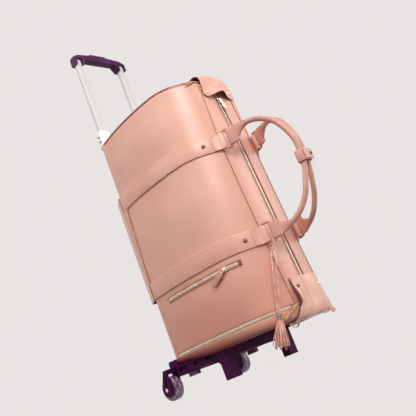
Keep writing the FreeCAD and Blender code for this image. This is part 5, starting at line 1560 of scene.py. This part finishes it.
capProfile = [(0, 0.0026), (0.0006, 0.0036), (0.0022, 0.0042), (0.0046, 0.0045), (0.0062, 0.0046),
              (capLong - 0.002, 0.0046), (capLong - 0.0008, 0.0050), (capLong, 0.0048), (capLong, 0.0036)]
cap = turned(capProfile, charmAt(capStart, 0, 0), charmDown, 28)
addPiece("charm_cap", cap, "darkMetal", "charm", ["tassel_cap"])
strands = []
strandStart = capEnd - charmLook["tuck"]
strandLong = charmLook["end"] - capEnd + charmLook["tuck"]
for i in range(charmLook["strands"]):
    turnAt = 2 * math.pi * (i * 0.618)
    ringAt = 0.35 + 0.65 * ((i % 5) / 4)
    top = charmLook["strandTop"] * ringAt
    foot = charmLook["spread"] * ringAt * (0.85 + 0.3 * random.random())
    long = strandLong * (0.9 + 0.16 * random.random())
    swirl = 0.35 * (random.random() - 0.5)
    points = []
    for share in (0, 0.25, 0.5, 0.75, 1):
        reach = top + (foot - top) * share ** 0.8 + 0.0011 * math.sin(6 * share + i)
        angle = turnAt + swirl * share
        down = strandStart + long * share
        points.append(charmAt(down, reach * math.cos(angle), reach * math.sin(angle)))
    outward = charmSide * math.cos(turnAt) + charmFront * math.sin(turnAt)
    section = rounded(charmLook["strandWide"], charmLook["strandThick"], 0.0003, 1)
    strands.append(sweep(curveThrough(points, 14), section, outward))
addPiece("charm_tassel", gather(strands), "tasselLeather", "charm", ["tassel_fringe"])
print("charm made")

# Wheels: a smoky tyre with a tread step, and a hub with openings

wheelLook = {"round": 0.0045, "spokes": 5, "firstSpoke": 0.4, "fit": 0.00015}
for side in ("left", "right"):
    low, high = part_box("wheel_tyre_" + side)
    centre = np.array((low + high) / 2)
    radius, half = (high.z - low.z) / 2, (high.x - low.x) / 2
    hubLow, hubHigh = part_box("wheel_hub_" + side)
    hubRadius = (hubHigh.z - hubLow.z) / 2
    bore = hubRadius + wheelLook["fit"]
    r = wheelLook["round"]
    edge = [(r * (1 - math.cos(a)), radius - r + r * math.sin(a)) for a in np.linspace(0.3, math.pi / 2, 6)]
    profile = [(-half + 0.001, bore), (-half, bore + 0.001), (-half, radius - r)]
    profile += [(-half + inset, level) for inset, level in edge]
    profile += [(-0.0012, radius), (-0.0008, radius - 0.0005), (0.0008, radius - 0.0005), (0.0012, radius)]
    profile += [(half - inset, level) for inset, level in edge[::-1]]
    profile += [(half, radius - r), (half, bore + 0.001), (half - 0.001, bore), (-half + 0.001, bore)]
    tyre = turned(profile, centre, (1, 0, 0), 72)
    addPiece("tyre_" + side, tyre, "wheelPlastic", "wheel_" + side, ["wheel_tyre_" + side])
    hubHalf = (hubHigh.x - hubLow.x) / 2
    dish = [(hubHalf, 0.0042), (hubHalf, 0.0075), (hubHalf - 0.002, 0.0085),
            (hubHalf - 0.003, hubRadius - 0.003), (hubHalf, hubRadius - 0.002), (hubHalf, hubRadius)]
    hub = [(-x, level) for x, level in dish] + dish[::-1] + [(-hubHalf, 0.0042)]
    shapes = [turned(hub, centre, (1, 0, 0), 60)]
    spokeEnd = hubRadius - 0.0015
    outline = [(-0.0012, 0.0070), (0.0012, 0.0070), (0.0009, spokeEnd), (-0.0009, spokeEnd)]
    for i in range(wheelLook["spokes"]):
        angle = 2 * math.pi * i / wheelLook["spokes"] + wheelLook["firstSpoke"]
        spoke = np.array([0, math.cos(angle), math.sin(angle)])
        across = np.array([0, -math.sin(angle), math.cos(angle)])
        for face in (-1, 1):
            place = centre + np.array([face * (hubHalf - 0.0024), 0, 0])
            shapes.append(plate(outline, -0.0014, 0.0014, 0.0003, place, across, spoke))
    addPiece("hub_" + side, gather(shapes), "hubPlastic", "wheel_" + side,
             ["wheel_hub_" + side])
axleLow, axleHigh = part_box("wheel_axles")
axleMid = (axleLow + axleHigh) / 2
axleRadius = (axleHigh.z - axleLow.z) / 2
shapes = []
for sign in (-1, 1):
    bracketLow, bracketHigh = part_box("wheel_bracket_" + ("left" if sign < 0 else "right"))
    pinStart, pinEnd = bracketLow.x - 0.0012, bracketHigh.x + 0.0012
    profile = [(pinStart - 0.0004, axleRadius * 0.55), (pinStart, axleRadius * 0.98),
               (pinStart + 0.0012, axleRadius), (pinEnd - 0.0012, axleRadius),
               (pinEnd, axleRadius * 0.98), (pinEnd + 0.0004, axleRadius * 0.55)]
    shapes.append(turned(profile, (0, axleMid.y, axleMid.z), (1, 0, 0), 28))
addPiece("axle_pins", gather(shapes), "steelMetal", "frame", ["wheel_axles"])
print("wheels made")

# The trolley frame keeps its CAD solids, with softened edges and finishes

softEdges = {
    "back_crossbar": 0.0022, "side_beam_left": 0.0016, "side_beam_right": 0.0016,
    "front_leg_bar": 0.0024, "wheel_bracket_left": 0.0012, "wheel_bracket_right": 0.0012,
    "rubber_feet": 0.0012, "tube_collars": 0.0014, "pull_grip": 0.0018, "release_button": 0.0014,
    "outer_tube_left": 0.0006, "outer_tube_right": 0.0006, "inner_tube_left": 0.0006,
    "inner_tube_right": 0.0006, "collar_screws": 0.0003,
}
bevelLook = {"weld": 0.00002, "segments": 3, "angle": 38}
slotFinish = {
    "base_plastic": "basePlastic", "grip_plastic": "gripPlastic", "tube_metal": "tubeMetal",
    "collar_plastic": "collarPlastic", "wheel_plastic": "wheelPlastic", "steel": "steelMetal",
    "soft_rubber": "softRubber", "gold_metal": "goldMetal", "dark_metal": "darkMetal",
    "zip_tape": "zipTape", "body_leather": "bodyLeather", "handle_leather": "handleLeather",
    "tassel_leather": "tasselLeather",
}
for name, node in nodes.items():
    node.data.materials.clear()
    finish = "copperMetal" if name.startswith("handle_rings") else slotFinish[slotOf[name]]
    node.data.materials.append(finishes[finish])
    if name in softEdges:
        weld = node.modifiers.new("weld", "WELD")
        weld.merge_threshold = bevelLook["weld"]
        bevel = node.modifiers.new("bevel", "BEVEL")
        bevel.width = softEdges[name]
        bevel.segments = bevelLook["segments"]
        bevel.limit_method = "ANGLE"
        bevel.angle_limit = math.radians(bevelLook["angle"])
        even = node.modifiers.new("even", "WEIGHTED_NORMAL")
        even.keep_sharp = False
for body, rows in threads.items():
    addPiece("stitching_" + body, gather(rows), "thread", body)
